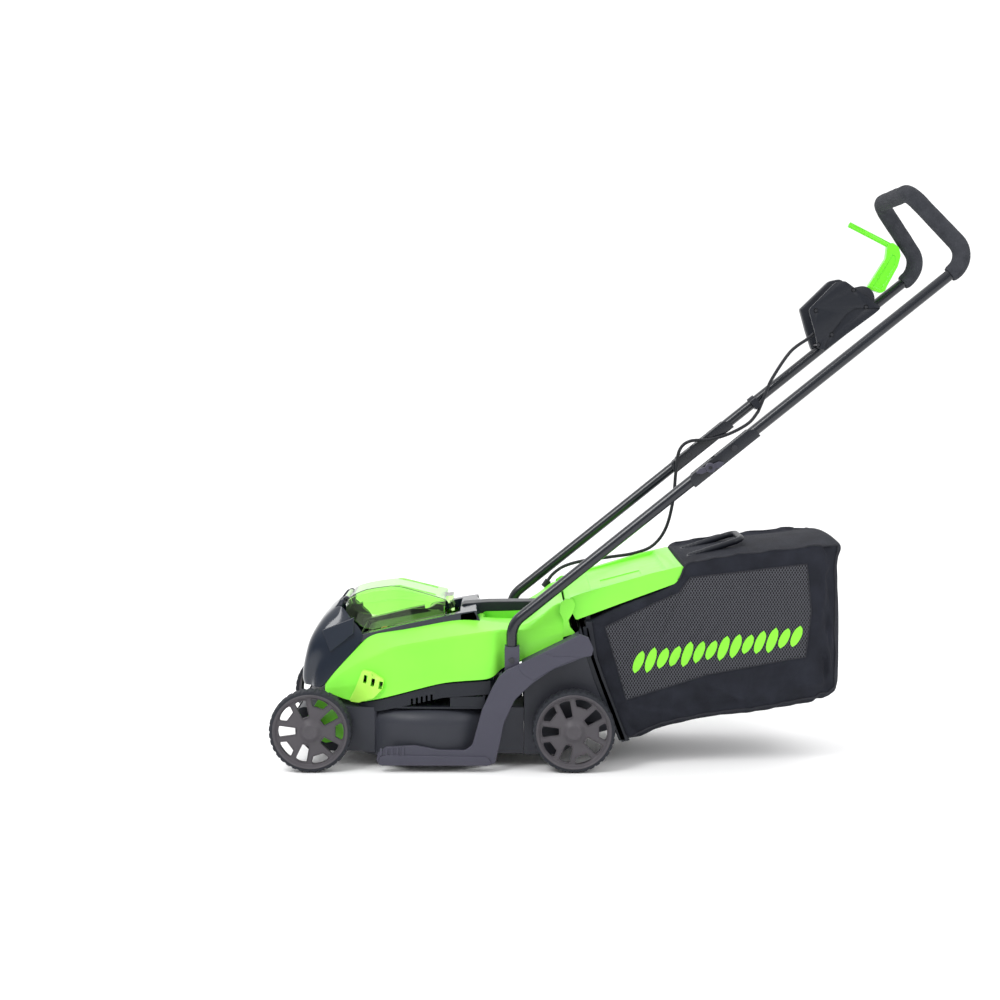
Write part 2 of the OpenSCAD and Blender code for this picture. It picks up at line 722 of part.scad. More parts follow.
module bag_handle() color(dark) {
    leg_x = 52;
    loop = [[leg_x, 146, 380], [leg_x, 247, 413], [-leg_x, 247, 413], [-leg_x, 146, 380]];
    foot = [[138, 371.2], [170, 377.6], [170, 386], [138, 380]];
    swept(bent_path(loop, 20), 6, 0, 12);
    both_sides() side_plate(foot, leg_x - 12, leg_x + 12);
}

// ---------------------------------------------------------------- handle

module handle_socket() difference() {
    block([151, -200, stub_foot - 4], [179, -173, 230]);
    translate([tube_x, stub_y, stub_foot]) cylinder(r = tube_r, h = 100);
    x_rod(3, 140, 190, stub_y, 206);
}
module handle_socket_left() color(grey) handle_socket();
module handle_socket_right() color(grey) on_side(false) handle_socket();

module socket_screws() color(steel) both_sides() {
    x_rod(3, 152, 181, stub_y, 206);
    x_rod(5, 179, 181, stub_y, 206);
}

lower_end = pivot + along * 12;

// How far a bent stretch reaches into the straight tube that it carries on from, and how much
// thinner its wall is there on each side
tube_lap = 8;
wall_step = 0.05;

module straight_tube(a, b) difference() {
    bar(a, b, tube_r);
    bar(a - unit(b - a) * over, b + unit(b - a) * over, tube_r - tube_wall);
}
module curved_tube(path)
    swept(path, tube_r - wall_step, tube_r - tube_wall + wall_step);

module lower_tube() {
    stub = [tube_x, stub_y, stub_foot];
    corner = [tube_x, stub_y, stub_top];
    end = [tube_x, lower_end.y, lower_end.z];
    leg_start = corner + along * bend_cut(stub, corner, end, stub_bend);
    difference() {
        union() {
            curved_tube(concat([stub], bend_points(stub, corner, end, stub_bend),
                [leg_start + along * tube_lap]));
            straight_tube(leg_start, end);
        }
        x_rod(3 + run_gap, 140, 190, pivot.y, pivot.z);
        x_rod(3, 140, 190, stub_y, 206);
    }
}
module lower_tube_left() color(dark) lower_tube();
module lower_tube_right() color(dark) on_side(false) lower_tube();

upper_start = pivot + along * 20;
grip_path = [grip_corner, grip_top, [-grip_top.x, grip_top.y, grip_top.z],
    [-grip_corner.x, grip_corner.y, grip_corner.z]];

module upper_handle() color(dark) {
    leg_start = [tube_x, upper_start.y, upper_start.z];
    cut = bend_cut(leg_start, grip_corner, grip_top, handle_bend);
    leg_end = grip_corner - along * cut;
    loop_start = leg_end - along * tube_lap;
    loop = bent_path(concat([loop_start], grip_path, [[-loop_start.x, loop_start.y, loop_start.z]]),
        handle_bend);
    difference() {
        union() {
            both_sides() straight_tube(leg_start, leg_end);
            curved_tube(loop);
        }
        both_sides() x_rod(3, 140, 190, pivot.y + bolt_pitch * along.y,
            pivot.z + bolt_pitch * along.z);
    }
}

module foam_grip() color([0.27, 0.28, 0.3]) {
    // The foam starts a little below the first bend
    start = grip_corner - along * 48;
    swept(bent_path(concat([start], grip_path, [[-start.x, start.y, start.z]]), handle_bend),
        foam_r, tube_r);
}

// U channel that holds the end of the upper tube and swings on the lower one.
module bracket() {
    inner = tube_r + part_gap;
    outer = inner + 2.5;
    end_room = 18;
    on_handle([tube_x, pivot.y, pivot.z]) difference() {
        block([-outer, -42, -outer], [outer, 106, tube_r]);
        block([-inner, -43, -inner], [inner, 107, tube_r + over]);
        // Opening in the web that the end of the lower tube swings through
        block([-inner, -end_room, -outer - over], [inner, end_room, 0]);
        // Pivot hole and two bolt positions for the handle's length
        for (y = [0, bolt_pitch]) translate([-20, y, 0]) rotate([0, 90, 0])
            cylinder(r = 3, h = 40);
        translate([-20, -28, 0]) rotate([0, 90, 0]) cylinder(r = 3, h = 40);
    }
}
module fold_brackets() color(dark) both_sides() bracket();

bracket_face = tube_r + part_gap + 2.5;

module bracket_bolts() color(steel) both_sides() {
    for (step = [0, bolt_pitch]) {
        y = pivot.y + step * along.y;
        z = pivot.z + step * along.z;
        x_rod(3, tube_x - bracket_face - 1, tube_x + bracket_face + (step == 0 ? 10 : 2), y, z);
        x_rod(5.5, tube_x - bracket_face - 3, tube_x - bracket_face, y, z);
        if (step > 0) x_rod(5.5, tube_x + bracket_face, tube_x + bracket_face + 4, y, z);
    }
}

// Wing nut: a hub with two wings, screwed on the pivot bolt.
module wing_knob() {
    face = tube_x + bracket_face + part_gap;
    wing = [[6, -4], [20, -5], [26, 0], [20, 5], [6, 4]];
    difference() {
        union() {
            x_rod(9, face, face + 12, pivot.y, pivot.z);
            translate([face + 2, pivot.y, pivot.z]) rotate([90, 0, 90]) linear_extrude(8)
                for (turn = [20, 200]) rotate(turn) polygon(wing);
        }
        x_rod(3 + run_gap, face - over, face + 11, pivot.y, pivot.z);
    }
}
module wing_knob_left() color(grey) wing_knob();
module wing_knob_right() color(grey) on_side(false) wing_knob();

// ---------------------------------------------------------------- switch box

box_outline = [[389, 849], [448, 906], [465, 909], [493, 889], [541, 850], [524, 834], [445, 774],
    [420, 752], [404, 760], [397, 800]];
box_inside = [[396, 848], [450, 900], [464, 903], [490, 884], [530, 850], [520, 840], [448, 787],
    [412, 772], [403, 800]];
box_left = -118;
box_split = -165;
box_right = -187;
box_screws = [[484, 885], [411, 845], [509, 852], [443, 798], [417, 778]];
screw_r = 1.8;
// Drum behind the near wall, which houses the lever's hub
drum_r = 25;
drum_near = -123;
// Slot that the lever swings in, between the drum's two end walls
slot_near = -126.5;
slot_far = -150;
button_r = 8;
button_at = [462, 862];

module box_tube_bore() bar([-tube_x, pivot.y, pivot.z] + along * 150,
    [-tube_x, pivot.y, pivot.z] + along * 560, tube_r);

module box_screw_holes() for (p = box_screws) x_rod(screw_r, -200, -100, p.x, p.y);

module box_shell(x0, x1, inner0, inner1) difference() {
    union() {
        difference() {
            side_plate(box_outline, x0, x1);
            side_plate(box_inside, inner0, inner1);
        }
        // Screw bosses
        for (p = box_screws) x_rod(4.5, x0 + over, x1 - over, p.x, p.y);
        // Collar round the tube
        intersection() {
            side_plate(box_outline, x0, x1);
            bar([-tube_x, pivot.y, pivot.z] + along * 200,
                [-tube_x, pivot.y, pivot.z] + along * 540, tube_r + 2);
        }
    }
    box_tube_bore();
    box_screw_holes();
}

module switch_box_inner() color(dark) difference() {
    union() {
        box_shell(box_split + 0.1, box_left, box_split, box_left - wall);
        x_rod(drum_r, slot_far - 4, drum_near, lever_pivot.y, lever_pivot.z);
    }
    // Room for the lever's hub and paddle, and the bearings of its axle
    x_rod(drum_r - wall, slot_far, slot_near, lever_pivot.y, lever_pivot.z);
    block([slot_far, 490, 868], [slot_near, 560, 920]);
    x_rod(lever_pivot_r, slot_far - 5, drum_near - 0.5, lever_pivot.y, lever_pivot.z);
    box_screw_holes();
}

module switch_box_outer() color(dark) difference() {
    box_shell(box_right, box_split - 0.1, box_right + wall, box_split);
    // Seat of the lock-off button
    x_rod(button_r + 0.4, box_right - over, box_right + wall + over, button_at.x, button_at.y);
}

module switch_box_screws() color(steel)
    for (p = box_screws) {
        x_rod(screw_r, -180, box_left, p.x, p.y);
        x_rod(3.2, box_left, box_left + 1.8, p.x, p.y);
    }

// Contact block behind the lever.
module switch_unit() color([0.1, 0.1, 0.1])
    block([-150, 428, 815], [-128, 458, 850]);

lever_x0 = -147;
lever_x1 = -129;

module bail_lever() color(green) {
    hub_r = 14;
    // Hub with a moulded axle that runs in the box
    x_rod(hub_r, lever_x0, lever_x1, lever_pivot.y, lever_pivot.z);
    x_rod(lever_pivot_r - run_gap, slot_far - 4, drum_near - 1, lever_pivot.y, lever_pivot.z);
    // Paddle
    side_plate([[492, 872], [512, 872], [541, 879], [548, 884], [552, 892], [571, 930],
        [576, 952], [573, 968], [562, 977], [552, 974], [550, 952], [514, 888.5],
        [500, 889]], lever_x0, lever_x1);
    // Finger bar, which bends inward over the grip
    bar([-140, 560, 969], [-140, 476, 1014], 5.5);
}

// Button on the outer face, with a flange that keeps it in the box.
module lock_off_button() color(grey) {
    x_rod(button_r, box_right - 4, box_right + 12, button_at.x, button_at.y);
    x_rod(button_r + 2.5, box_right + wall + 0.5, box_right + wall + 3, button_at.x, button_at.y);
}

// ---------------------------------------------------------------- cable

// Route of the cable from the switch box to the clip, then on to the gland in the rear cover.
route_upper = [[-140, 412, 800], [-140, 400, 790], [-141, 366, 764], [-144, 332, 712],
    [-147, 319, 680], [-148, 308, 652]];
route_lower = [[-148, 303, 642], [-147, 286, 622], [-145, 250, 602], [-144, 210, 590],
    [-144, 168, 586], [-145, 148, 566], [-148, 142, 520], [-149, 138, 470], [-149, 124, 412],
    [-149, 98, 376], [-149, 60, 360], [-149, 10, 352], [-149, -40, 345], [-148, -80, 334],
    [-144, -104, 318], [-140, -116, 302]];
rings_per_span = 3;

// Point on a smooth curve through four neighbours, a share t of the way from b to c.
function curve_point(a, b, c, d, t) = 0.5 * (2 * b + (c - a) * t
    + (2 * a - 5 * b + 4 * c - d) * t * t + (3 * b - a - 3 * c + d) * t * t * t);
function smooth(p) = let (n = len(p) - 1) concat(
    [for (i = [0:n - 1]) for (k = [0:rings_per_span - 1])
        curve_point(p[max(i - 1, 0)], p[i], p[i + 1], p[min(i + 2, n)], k / rings_per_span)],
    [p[n]]);

module cable(route) swept(smooth(route), cable_r, 0, 8);

module cable_upper() color(dark) cable(route_upper);
module cable_lower() color(dark) cable(route_lower);

module cable_gland() color(dark) difference() {
    bar([-140, -122, 293], [-140, -113, 306], 6.5);
    bar([-140, -119, 297.4], [-140, -110, 310.4], cable_r);
}

// Clip on the far tube that holds the cable.
module cable_clip() color(dark) {
    on_handle([-tube_x, pivot.y, pivot.z] + along * 168) difference() {
        union() {
            rotate([-90, 0, 0]) translate([0, 0, -7]) cylinder(r = tube_r + 3, h = 14);
            block([6, -7, -12], [24, 7, 8]);
        }
        rotate([-90, 0, 0]) translate([0, 0, -10]) cylinder(r = tube_r, h = 20);
    }
}

// ---------------------------------------------------------------- nodes

deck_shell();
discharge_chute();
side_skirt_left();
side_skirt_right();
chassis_tray();
top_cover();
front_cover();
side_vents();
carry_handle();
battery_tray();
battery_pack();
safety_key();
lid_hinge_pin();
motor_housing();
controller_box();
front_axle_rod();
rear_axle_rod();
axle_clips();
front_axle_carrier();
handle_socket_left();
handle_socket_right();
socket_screws();
lower_tube_left();
lower_tube_right();
flap_hinge_rod();
flap_spring();
cable_gland();
cable_lower();
wheel_front_left();
wheel_front_right();
wheel_rear_left();
wheel_rear_right();
tyre_front_left();
tyre_front_right();
tyre_rear_left();
tyre_rear_right();
motor_shaft();
blade_adapter();
cutting_blade();
blade_bolt();
battery_lid();
discharge_flap();
bag_frame();
bag_neck();
bag_fabric();
bag_handle();
upper_handle();
foam_grip();
fold_brackets();
bracket_bolts();
wing_knob_left();
wing_knob_right();
cable_clip();
cable_upper();
switch_box_inner();
switch_box_outer();
switch_box_screws();
switch_unit();
bail_lever();
lock_off_button();
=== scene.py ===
"""Looks of the cordless push lawn mower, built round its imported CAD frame.

Sizes are in millimetres in the row frame: +X the mower's left, -Y its front, +Z up.
"""
import json
import math

import bmesh
import bpy
from mathutils import Matrix, Vector, noise
from mathutils.bvhtree import BVHTree


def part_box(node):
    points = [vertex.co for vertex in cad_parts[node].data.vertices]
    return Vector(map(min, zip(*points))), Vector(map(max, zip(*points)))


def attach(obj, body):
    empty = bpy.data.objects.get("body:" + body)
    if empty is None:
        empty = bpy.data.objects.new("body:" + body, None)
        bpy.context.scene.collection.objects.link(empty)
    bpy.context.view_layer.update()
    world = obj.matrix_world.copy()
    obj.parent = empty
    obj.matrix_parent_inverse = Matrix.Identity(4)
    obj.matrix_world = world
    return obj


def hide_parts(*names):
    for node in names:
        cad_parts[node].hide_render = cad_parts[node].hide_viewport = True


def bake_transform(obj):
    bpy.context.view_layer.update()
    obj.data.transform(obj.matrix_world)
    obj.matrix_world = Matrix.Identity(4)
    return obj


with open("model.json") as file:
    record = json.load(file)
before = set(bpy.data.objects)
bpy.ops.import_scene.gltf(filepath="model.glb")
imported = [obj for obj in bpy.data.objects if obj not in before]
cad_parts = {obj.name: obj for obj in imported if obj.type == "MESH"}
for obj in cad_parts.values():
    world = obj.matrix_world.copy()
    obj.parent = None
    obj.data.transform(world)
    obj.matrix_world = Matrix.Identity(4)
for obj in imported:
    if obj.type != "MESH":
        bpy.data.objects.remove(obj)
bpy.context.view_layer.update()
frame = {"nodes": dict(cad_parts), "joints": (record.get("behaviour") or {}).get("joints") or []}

MM = 0.001
NODES = frame["nodes"]


# ---------------------------------------------------------------- places taken from the frame

def low(node):
    """Lowest corner of a CAD node, in millimetres."""
    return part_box(node)[0] / MM


def high(node):
    """Highest corner of a CAD node, in millimetres."""
    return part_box(node)[1] / MM


def joint_origin(name):
    """Where a joint's axis passes, in millimetres."""
    joint = next(j for j in frame["joints"] if j["name"] == name)
    return Vector(joint["pos_m"]) / MM


# ---------------------------------------------------------------- camera, light and floor

def make_camera():
    """Camera low on the mower's left side, looking along -X and a little down."""
    data = bpy.data.cameras.new("camera")
    data.sensor_width = 36
    data.lens = 55.51
    camera = bpy.data.objects.new("camera", data)
    bpy.context.scene.collection.objects.link(camera)
    camera.location = (2.940, -0.1905, 0.762)
    pitch = math.radians(5.446)
    yaw = math.radians(0.3716)
    forward = Vector((-math.cos(pitch) * math.cos(yaw), -math.cos(pitch) * math.sin(yaw), -math.sin(pitch)))
    camera.rotation_euler = forward.to_track_quat("-Z", "Y").to_euler()
    bpy.context.scene.camera = camera


def area_light(name, place, aim, size, power):
    """A square soft box that shines from place towards aim."""
    data = bpy.data.lights.new(name, "AREA")
    data.shape = "RECTANGLE"
    data.size = size
    data.size_y = size
    data.energy = power
    light = bpy.data.objects.new(name, data)
    bpy.context.scene.collection.objects.link(light)
    light.location = place
    light.rotation_euler = (Vector(aim) - Vector(place)).to_track_quat("-Z", "Y").to_euler()


def make_backdrop():
    """White backdrop and ceiling behind the mower, and a dimmer room on the camera's side."""
    world = bpy.data.worlds.new("studio")
    bpy.context.scene.world = world
    world.use_nodes = True
    tree = world.node_tree
    background = tree.nodes["Background"]
    background.inputs["Color"].default_value = (1, 1, 1, 1)
    place = tree.nodes.new("ShaderNodeTexCoord")
    split = tree.nodes.new("ShaderNodeSeparateXYZ")
    tree.links.new(place.outputs["Generated"], split.inputs["Vector"])
    fade = tree.nodes.new("ShaderNodeMapRange")
    fade.inputs["From Min"].default_value = -0.6
    fade.inputs["From Max"].default_value = 0.5
    fade.inputs["To Min"].default_value = 1.12
    fade.inputs["To Max"].default_value = 0.26
    tree.links.new(split.outputs["X"], fade.inputs["Value"])
    overhead = tree.nodes.new("ShaderNodeMath")
    overhead.operation = "MULTIPLY_ADD"
    overhead.inputs[1].default_value = 0.85
    tree.links.new(split.outputs["Z"], overhead.inputs[0])
    tree.links.new(fade.outputs["Result"], overhead.inputs[2])
    tree.links.new(overhead.outputs[0], background.inputs["Strength"])


def make_floor():
    """Pale floor just under the wheels."""
    bm = bmesh.new()
    bmesh.ops.create_grid(bm, x_segments=2, y_segments=2, size=12)
    mesh = bpy.data.meshes.new("floor")
    bm.to_mesh(mesh)
    bm.free()
    floor = bpy.data.objects.new("floor", mesh)
    bpy.context.scene.collection.objects.link(floor)
    floor.location.z = -0.0004
    material, shader, link, new = node_material("studio_floor")
    tone = new("ShaderNodeTexNoise", Scale=3.0)
    tinted(link, shader, tone.outputs["Fac"], colour_ramp(new, (0.96, 0.96, 0.965), (0.985, 0.985, 0.99)))
    settle(shader, Roughness=0.55)
    mesh.materials.append(material)


def make_studio():
    """Plain studio: backdrop, two soft boxes and a floor."""
    bpy.context.scene.view_settings.view_transform = "Standard"
    make_backdrop()
    area_light("key_box", (1.9, -1.9, 2.9), (0, -0.1, 0.3), 1.5, 72)
    area_light("fill_box", (2.1, 2.0, 2.2), (0, 0.1, 0.4), 1.6, 32)
    make_floor()


# ---------------------------------------------------------------- materials

def node_material(name):
    """An empty Principled material, with short ways to add nodes and links to it."""
    material = bpy.data.materials.new(name)
    material.use_nodes = True
    tree = material.node_tree
    shader = tree.nodes["Principled BSDF"]

    def new(kind, **inputs):
        node = tree.nodes.new(kind)
        for key, value in inputs.items():
            node.inputs[key.replace("_", " ")].default_value = value
        return node

    return material, shader, tree.links.new, new


def colour_ramp(new, dark, light, start=0.3, end=0.7):
    """A ramp between two colours."""
    ramp = new("ShaderNodeValToRGB")
    ramp.color_ramp.elements[0].position = start
    ramp.color_ramp.elements[0].color = (*dark, 1)
    ramp.color_ramp.elements[1].position = end
    ramp.color_ramp.elements[1].color = (*light, 1)
    return ramp


def settle(shader, **values):
    """Sets constant values on the shader's own sockets."""
    for key, value in values.items():
        shader.inputs[key.replace("_", " ")].default_value = value


def speckle(new, link, place, scale, detail):
    """Noise over the object's own coordinates, as a value from 0 to 1."""
    noise_node = new("ShaderNodeTexNoise", Scale=scale, Detail=detail)
    link(place.outputs["Object"], noise_node.inputs["Vector"])
    return noise_node.outputs["Fac"]


def tinted(link, shader, value, ramp):
    """Colours the shader from a value through a ramp."""
    link(value, ramp.inputs["Fac"])
    link(ramp.outputs["Color"], shader.inputs["Base Color"])


def bumped(new, link, shader, height, strength, distance):
    """Lets a value stand as relief on the shader."""
    bump = new("ShaderNodeBump", Strength=strength, Distance=distance)
    link(height, bump.inputs["Height"])
    link(bump.outputs["Normal"], shader.inputs["Normal"])


def shade(colour, factor):
    """The same hue, lighter or darker."""
    return tuple(min(1.0, c * factor) for c in colour)


def moulded(name, colour, roughness, grain=1400.0, depth=0.12, spread=0.06, coat=0.0, metallic=0.0,
            specular=0.28):
    """Moulded plastic, paint or metal: slow shifts of tone, fine grain, and gloss that varies a little."""
    material, shader, link, new = node_material(name)
    place = new("ShaderNodeTexCoord")
    ramp = colour_ramp(new, shade(colour, 1 - spread), shade(colour, 1 + spread))
    tinted(link, shader, speckle(new, link, place, 9.0, 4.0), ramp)
    gloss = new("ShaderNodeMapRange")
    gloss.inputs["To Min"].default_value = roughness * 0.85
    gloss.inputs["To Max"].default_value = min(1.0, roughness * 1.2)
    link(speckle(new, link, place, 55.0, 5.0), gloss.inputs["Value"])
    link(gloss.outputs["Result"], shader.inputs["Roughness"])
    bumped(new, link, shader, speckle(new, link, place, grain, 2.0), depth, 0.0003)
    settle(shader, Metallic=metallic, Specular_IOR_Level=specular, Coat_Weight=coat, Coat_Roughness=0.08)
    return material


def clear_tinted():
    """Tinted polycarbonate of the battery lid."""
    material, shader, link, new = node_material("clear_green_polycarbonate")
    place = new("ShaderNodeTexCoord")
    ramp = colour_ramp(new, (0.52, 0.94, 0.30), (0.58, 0.96, 0.35))
    tinted(link, shader, speckle(new, link, place, 14.0, 2.0), ramp)
    settle(shader, Roughness=0.03, IOR=1.49, Transmission_Weight=1.0)
    return material


def foam():
    """Closed-cell foam of the grip: dull, pitted, a little mottled."""
    material, shader, link, new = node_material("grip_foam")
    place = new("ShaderNodeTexCoord")
    ramp = colour_ramp(new, (0.028, 0.030, 0.036), (0.042, 0.044, 0.052))
    tinted(link, shader, speckle(new, link, place, 60.0, 6.0), ramp)
    cells = new("ShaderNodeTexVoronoi", Scale=1300.0)
    link(place.outputs["Object"], cells.inputs["Vector"])
    bumped(new, link, shader, cells.outputs["Distance"], 0.6, 0.0005)
    settle(shader, Roughness=0.93, Specular_IOR_Level=0.2)
    return material


def thread(new, link, place, direction, pitch):
    """A wave across the cloth, one crest for each thread, as a value from 0 to 1."""
    along = new("ShaderNodeVectorMath")
    along.operation = "DOT_PRODUCT"
    along.inputs[1].default_value = direction
    link(place.outputs["Object"], along.inputs[0])
    turn = new("ShaderNodeMath")
    turn.operation = "MULTIPLY"
    turn.inputs[1].default_value = 2 * math.pi / pitch
    link(along.outputs["Value"], turn.inputs[0])
    wave = new("ShaderNodeMath")
    wave.operation = "SINE"
    link(turn.outputs[0], wave.inputs[0])
    return wave.outputs[0]


def combine(new, link, operation, first, second):
    """One Math node on two sockets."""
    node = new("ShaderNodeMath")
    node.operation = operation
    link(first, node.inputs[0])
    link(second, node.inputs[1])
    return node.outputs[0]


def woven():
    """Close polyester cloth of the bag: a plain weave, slow mottling and a dull surface."""
    material, shader, link, new = node_material("bag_woven_polyester")
    place = new("ShaderNodeTexCoord")
    pitch = 0.0011
    warp = thread(new, link, place, (0.35, 1.0, 0.12), pitch)
    weft = thread(new, link, place, (0.35, -0.12, 1.0), pitch)
    ramp = colour_ramp(new, (0.009, 0.010, 0.015), (0.018, 0.020, 0.029))
    tinted(link, shader, speckle(new, link, place, 22.0, 6.0), ramp)
    bumped(new, link, shader, combine(new, link, "MULTIPLY", warp, weft), 0.45, 0.0004)
    settle(shader, Roughness=0.82, Specular_IOR_Level=0.2)
    return material


def netting():
    """Open mesh of the bag's side: pale threads that cross aslant over holes that are painted, not cut, in a
    dark colour that is painted shade of the bag's inside.
    """
    material, shader, link, new = node_material("bag_netting")
    place = new("ShaderNodeTexCoord")
    pitch = 0.0052
    rise = thread(new, link, place, (0.0, 1.0, 0.62), pitch)
    fall = thread(new, link, place, (0.0, -1.0, 0.62), pitch)
    net = combine(new, link, "MAXIMUM", rise, fall)
    # The dark end of the ramp is painted shade: the holes are not open, and this colour stands for the shaded
    # inside of the bag seen through them.
    tinted(link, shader, net, colour_ramp(new, (0.005, 0.005, 0.008), (0.085, 0.088, 0.102), 0.45, 1.0))
    bumped(new, link, shader, net, 0.8, 0.0008)
    settle(shader, Roughness=0.6, Specular_IOR_Level=0.25)
    return material


GREEN = moulded("green_shell_plastic", (0.23, 0.80, 0.062), 0.36, grain=900.0, depth=0.05, coat=0.1)
LIME = moulded("lime_vent_plastic", (0.42, 0.86, 0.10), 0.36, grain=900.0, depth=0.06)
BLACK = moulded("black_shell_plastic", (0.011, 0.013, 0.019), 0.40)
GLOSS = moulded("gloss_nose_plastic", (0.010, 0.015, 0.026), 0.15, depth=0.01, specular=0.45)
DECK = moulded("deck_plastic", (0.030, 0.032, 0.042), 0.44, depth=0.12)
GREY = moulded("skirt_plastic", (0.052, 0.051, 0.072), 0.48, depth=0.12)
WHEEL = moulded("wheel_plastic", (0.068, 0.063, 0.071), 0.48, depth=0.15)
RUBBER = moulded("tyre_rubber", (0.018, 0.020, 0.026), 0.72, grain=700.0, depth=0.3)
PAINT = moulded("tube_powder_coat", (0.008, 0.010, 0.015), 0.22, grain=2200.0, depth=0.01, specular=0.5)
DARK_STEEL = moulded("black_oxide_steel", (0.045, 0.046, 0.052), 0.38, grain=2600.0, depth=0.1, metallic=0.6)
STEEL = moulded("bright_steel", (0.56, 0.57, 0.60), 0.32, grain=2600.0, depth=0.12, metallic=1.0)
ORANGE = moulded("key_plastic", (0.86, 0.20, 0.05), 0.38)
CABLE = moulded("cable_jacket", (0.014, 0.015, 0.019), 0.42, grain=1700.0)
BOARD = moulded("control_box_plastic", (0.02, 0.10, 0.05), 0.45)
PRINT = moulded("printed_mark", (0.24, 0.74, 0.045), 0.6, grain=1900.0, depth=0.1)
LEVER = moulded("lever_plastic", (0.15, 0.74, 0.025), 0.3, grain=900.0, depth=0.02, coat=0.2)
CLEAR = clear_tinted()
FOAM = foam()
WOVEN = woven()
NET = netting()
BINDING = moulded("bag_binding_tape", (0.020, 0.021, 0.027), 0.8, grain=1500.0, depth=0.5)


# ---------------------------------------------------------------- mesh helpers

def placed(mesh):
    """A new object in the scene for a mesh."""
    made = bpy.data.objects.new("piece", mesh)
    bpy.context.scene.collection.objects.link(made)
    return made


def add_object(bm):
    """Puts a bmesh drawn in millimetres into the scene as an object in metres; dress() names it."""
    bmesh.ops.recalc_face_normals(bm, faces=bm.faces)
    mesh = bpy.data.meshes.new("piece")
    bm.to_mesh(mesh)
    bm.free()
    mesh.transform(Matrix.Scale(MM, 4))
    return placed(mesh)


def apply_all(made):
    """Replaces an object's mesh with what its modifiers make of it."""
    graph = bpy.context.evaluated_depsgraph_get()
    mesh = bpy.data.meshes.new_from_object(made.evaluated_get(graph))
    old = made.data
    made.modifiers.clear()
    made.data = mesh
    bpy.data.meshes.remove(old)
    return made


def subdivided(made, levels, corners=False):
    """Smooths a loft by subdivision; corners keeps its open corners in place."""
    step = made.modifiers.new("smooth", "SUBSURF")
    step.levels = levels
    if corners:
        step.boundary_smooth = "PRESERVE_CORNERS"
    return apply_all(made)


def thick(made, thickness, offset=0, even=False):
    """Gives a skin its wall thickness, in millimetres."""
    step = made.modifiers.new("skin", "SOLIDIFY")
    step.thickness = thickness * MM
    step.offset = offset
    step.use_even_offset = even
    return apply_all(made)


def arcs(outline, steps=5):
    """A closed outline whose corners (a, b, radius) are rounded; plain points (a, b) stay sharp."""
    out = []
    count = len(outline)
    for i, corner in enumerate(outline):
        here = Vector(corner[:2])
        if len(corner) == 2:
            out.append(here)
            continue
        before = Vector(outline[i - 1][:2]) - here
        after = Vector(outline[(i + 1) % count][:2]) - here
        room = 0.48 * min(before.length, after.length)
        before.normalize()
        after.normalize()
        half = before.angle(after) / 2
        if half > math.radians(86):
            out.append(here)
            continue
        cut = min(corner[2] / math.tan(half), room)
        centre = here + (before + after).normalized() * cut * math.tan(half) / math.sin(half)
        first = here + before * cut - centre
        last = here + after * cut - centre
        sweep = first.angle_signed(last)
        for k in range(steps + 1):
            turned = first.copy()
            turned.rotate(Matrix.Rotation(-sweep * k / steps, 2))
            out.append(centre + turned)
    return out


VIEWS = {
    "side": lambda a, b, depth: Vector((depth, a, b)),
    "plan": lambda a, b, depth: Vector((a, b, depth)),
    "front": lambda a, b, depth: Vector((a, depth, b)),
}


def slab(view, outline, near, far):
    """An outline drawn in one view, (Y, Z), (X, Y) or (X, Z), and given a thickness."""
    bm = bmesh.new()
    place = VIEWS[view]
    points = arcs(outline)
    lower = [bm.verts.new(place(p.x, p.y, near)) for p in points]
    upper = [bm.verts.new(place(p.x, p.y, far)) for p in points]
    bm.faces.new(lower[::-1])
    bm.faces.new(upper)
    for i in range(len(points)):
        k = (i + 1) % len(points)
        bm.faces.new((lower[i], lower[k], upper[k], upper[i]))
    return add_object(bm)


def plate(corners, thickness):
    """A flat plate on four corners that reaches inward, towards the mower's middle."""
    bm = bmesh.new()
    outer = [bm.verts.new(p) for p in corners]
    inner = [bm.verts.new((p[0] - thickness, p[1], p[2])) for p in corners]
    bm.faces.new(outer)
    bm.faces.new(inner[::-1])
    for i in range(4):
        k = (i + 1) % 4
        bm.faces.new((outer[i], inner[i], inner[k], outer[k]))
    return add_object(bm)


def ring_loft(rings, closed=True, caps=True):
    """A skin over rings of points, each ring closed or open, with or without end caps."""
    bm = bmesh.new()
    rows = [[bm.verts.new(p) for p in ring] for ring in rings]
    last = len(rings[0]) if closed else len(rings[0]) - 1
    for a, b in zip(rows, rows[1:]):
        for i in range(last):
            k = (i + 1) % len(a)
            bm.faces.new((a[i], a[k], b[k], b[i]))
    if caps:
        bm.faces.new(rows[0][::-1])
        bm.faces.new(rows[-1])
    return add_object(bm)


def welded(made):
    """Merges the points that meet, so that a skin closes on itself."""
    bm = bmesh.new()
    bm.from_mesh(made.data)
    bmesh.ops.remove_doubles(bm, verts=bm.verts, dist=0.03 * MM)
    bmesh.ops.delete(bm, geom=[edge for edge in bm.edges if not edge.link_faces], context="EDGES")
    bmesh.ops.recalc_face_normals(bm, faces=bm.faces)
    bm.to_mesh(made.data)
    bm.free()
    return made


def joined(made, *others):
    """One object of several, each still its own closed shell."""
    bm = bmesh.new()
    for part in (made, *others):
        bm.from_mesh(part.data)
    bm.to_mesh(made.data)
    bm.free()
    for part in others:
        bpy.data.objects.remove(part)
    return made


def mirrored(made):
    """A copy of an object on the other side of the mower."""
    mesh = made.data.copy()
    mesh.transform(Matrix.Scale(-1, 4, (1, 0, 0)))
    mesh.flip_normals()
    return placed(mesh)


def both(made):
    """An object and its mirrored copy as one object."""
    return joined(made, mirrored(made))


def boolean(made, tool, operation="DIFFERENCE"):
    """Cuts, joins or keeps the overlap of an object and a tool, and removes the tool."""
    step = made.modifiers.new("boolean", "BOOLEAN")
    step.operation = operation
    step.solver = "EXACT"
    step.object = tool
    apply_all(made)
    bpy.data.objects.remove(tool)
    return made


